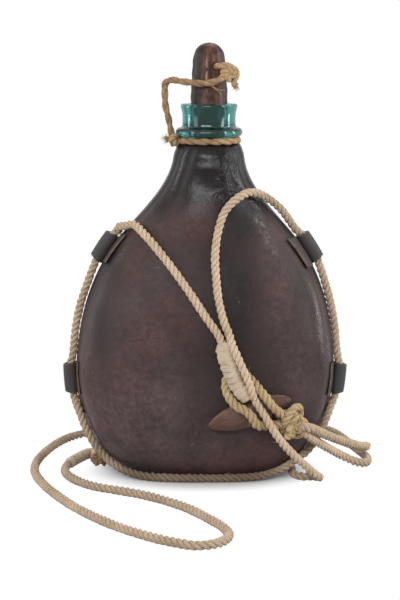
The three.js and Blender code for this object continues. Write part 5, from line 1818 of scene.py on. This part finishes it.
def twine_wear(route):
    """Wear of the twine: it browns down the riser and round the neck."""
    brown = TWINE_WEAR * (1.0 - smoothstep(route[:, 0], *TWINE_PLACE))
    return np.clip(brown + wander(lengths(route), TWINE_WANDER, TWINE_WAVES), 0.0, 1.0)


def twine_piece(name, points, body, node, reference):
    """Twine of two plies that replaces its plain solid."""
    piece, route, _ = laid_cord(name, points, body, TWINE_RADIUS, TWINE_LAY, TWINE, reference, strands=2,
                                columns=22, spacing=0.7, crevice=0.3, worn=twine_wear)
    stand_for(piece, "jute_twine", node)
    return piece, route


def twine_lump(name, lump, body, radius, node):
    """Small tight knot of twine that replaces its plain solid."""
    piece = knot_piece(name, [lump_route(*lump)], body, radius, TWINE_KNOT_LAY, TWINE, UP, strands=2)
    stand_for(piece, "jute_twine", node)


def stray_fibres():
    """Two long stray fibres of twine that hang before the stopper, each a thin tube along a smooth line."""
    routes = [smooth_route(points, STRAY_SPACING)[:STRAY_POINTS] for points in STRAY_FIBRES]
    shape = np.stack([plain_tube(route, STRAY_RADIUS, STRAY_SIDES, BACK) for route in routes])
    piece = surface("stray_twine_fibres", shape, "stopper", TWINE, closed=True, caps=route_ends(routes),
                    masks={"crown": 1.0})


_, ring_line = twine_piece("neck_twine_ring", neck_ring_route(), "canteen", "neck_twine", UP)
twine_lump("neck_twine_bend", NECK_LUMP, "canteen", NECK_KNOT_RADIUS, "neck_twine_knot")
_, turn_line = twine_piece("stopper_twine_turn", TURN_START + STOPPER_TWINE, "stopper", "stopper_twine", BACK)
_, hitch_line = twine_piece("stopper_twine_hitch", STOPPER_KNOT, "stopper", "stopper_twine_knot", UP)
twine_lump("stopper_twine_lump", STOPPER_LUMP, "stopper", STOPPER_KNOT_RADIUS, "stopper_twine_knot")
riser, _ = twine_piece("twine_riser_strand", RISER_START + TWINE_RISER, None, "twine_riser", BACK)
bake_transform(riser)
fuzz_along("neck_twine_fuzz", "canteen", TWINE, "jute_twine", [ring_line], TWINE_RADIUS, *NECK_FUZZ)
fuzz_along("stopper_twine_fuzz", "stopper", TWINE, "jute_twine", [turn_line, hitch_line], TWINE_RADIUS,
           *STOPPER_FUZZ)
tuft("neck_twine_fray", "canteen", TWINE, "jute_twine", NECK_FRAY_PLACE, NECK_FRAY_WAY, *NECK_FRAY)
tuft("stopper_twine_fray", "stopper", TWINE, "jute_twine", hitch_line[-1], STOPPER_FRAY_WAY, *STOPPER_FRAY)
stray_fibres()


# Floor, light and camera

def seen_directly(tree):
    """Mask of what is seen directly, in gloss or through glass."""
    path = add_node(tree, "ShaderNodeLightPath").outputs
    seen = arithmetic(tree, "MAXIMUM", path["Is Camera Ray"], path["Is Glossy Ray"])
    return arithmetic(tree, "MAXIMUM", seen, path["Is Transmission Ray"])


def white_floor():
    """White floor: grey and lit near the object, where the grey paints a shadow and the floor keeps its real
    shadow, and fading to plain white light away from it."""
    bpy.ops.mesh.primitive_plane_add(size=FLOOR_SIZE, location=(0.0, 0.0, 0.0))
    floor = bpy.context.object
    floor.name = "floor"
    material, tree, sockets = new_material("floor_white", *FLOOR_FINISH)
    # Grey floor colour, which paints a soft shadow where the floor shows near the object
    sockets["Base Color"].default_value = FLOOR_SHADOW_GREY
    oval = add_node(tree, "ShaderNodeMapping",
                    {"Vector": object_spot(tree), "Location": SHADOW_SHIFT, "Scale": SHADOW_SHAPE})
    distance = add_node(tree, "ShaderNodeVectorMath", {0: oval.outputs["Vector"]}, operation="LENGTH")
    far = ramp(tree, distance.outputs["Value"], *SHADOW_REACH, FLOOR_GLOW, 1.0)
    share = product(tree, far, seen_directly(tree))
    lit = tree.nodes["Principled BSDF"].outputs["BSDF"]
    glow = add_node(tree, "ShaderNodeEmission", {"Color": WHITE, "Strength": 1.0}).outputs["Emission"]
    both = add_node(tree, "ShaderNodeMixShader", {0: share, 1: lit, 2: glow}).outputs["Shader"]
    feed(tree, tree.nodes["Material Output"].inputs["Surface"], both)
    floor.data.materials.append(material)


def soft_world():
    """White surround for what is seen directly, in gloss and through glass, and a weaker one for light."""
    world = bpy.data.worlds.new("studio")
    bpy.context.scene.world = world
    world.use_nodes = True
    tree = world.node_tree
    shade = tree.nodes["Background"].inputs
    feed(tree, shade["Strength"], weighted(tree, (WORLD_LIGHT, 1.0 - WORLD_LIGHT), seen_directly(tree)))
    shade["Color"].default_value = WHITE


def soft_box(name, spot, aim, width, height, power):
    """Area lamp at a spot, aimed at a point, in metres and watts."""
    lamp = bpy.data.lights.new(name, "AREA")
    lamp.shape = "RECTANGLE"
    lamp.size = width
    lamp.size_y = height
    lamp.energy = power
    lamp_object = bpy.data.objects.new(name, lamp)
    lamp_object.location = spot
    away = np.array(aim, float) - np.array(spot, float)
    flat = math.hypot(away[0], away[1])
    lamp_object.rotation_euler = (math.atan2(flat, -away[2]), 0.0, math.atan2(-away[0], away[1]))
    bpy.context.scene.collection.objects.link(lamp_object)


def photo_camera():
    """Camera at the photograph's viewing angle."""
    camera = bpy.data.cameras.new("camera")
    camera.sensor_width = SENSOR
    camera.lens = FOCAL_PIXELS * SENSOR / FRAME_HEIGHT
    camera_object = bpy.data.objects.new("camera", camera)
    camera_object.location = place(CAMERA_PLACE)
    camera_object.rotation_euler = (math.pi / 2.0 - CAMERA_PITCH, 0.0, 0.0)
    bpy.context.scene.collection.objects.link(camera_object)
    bpy.context.scene.camera = camera_object


white_floor()
soft_world()
for lamp_values in LAMPS:
    soft_box(*lamp_values)
photo_camera()
bpy.context.scene.view_settings.view_transform = "Standard"
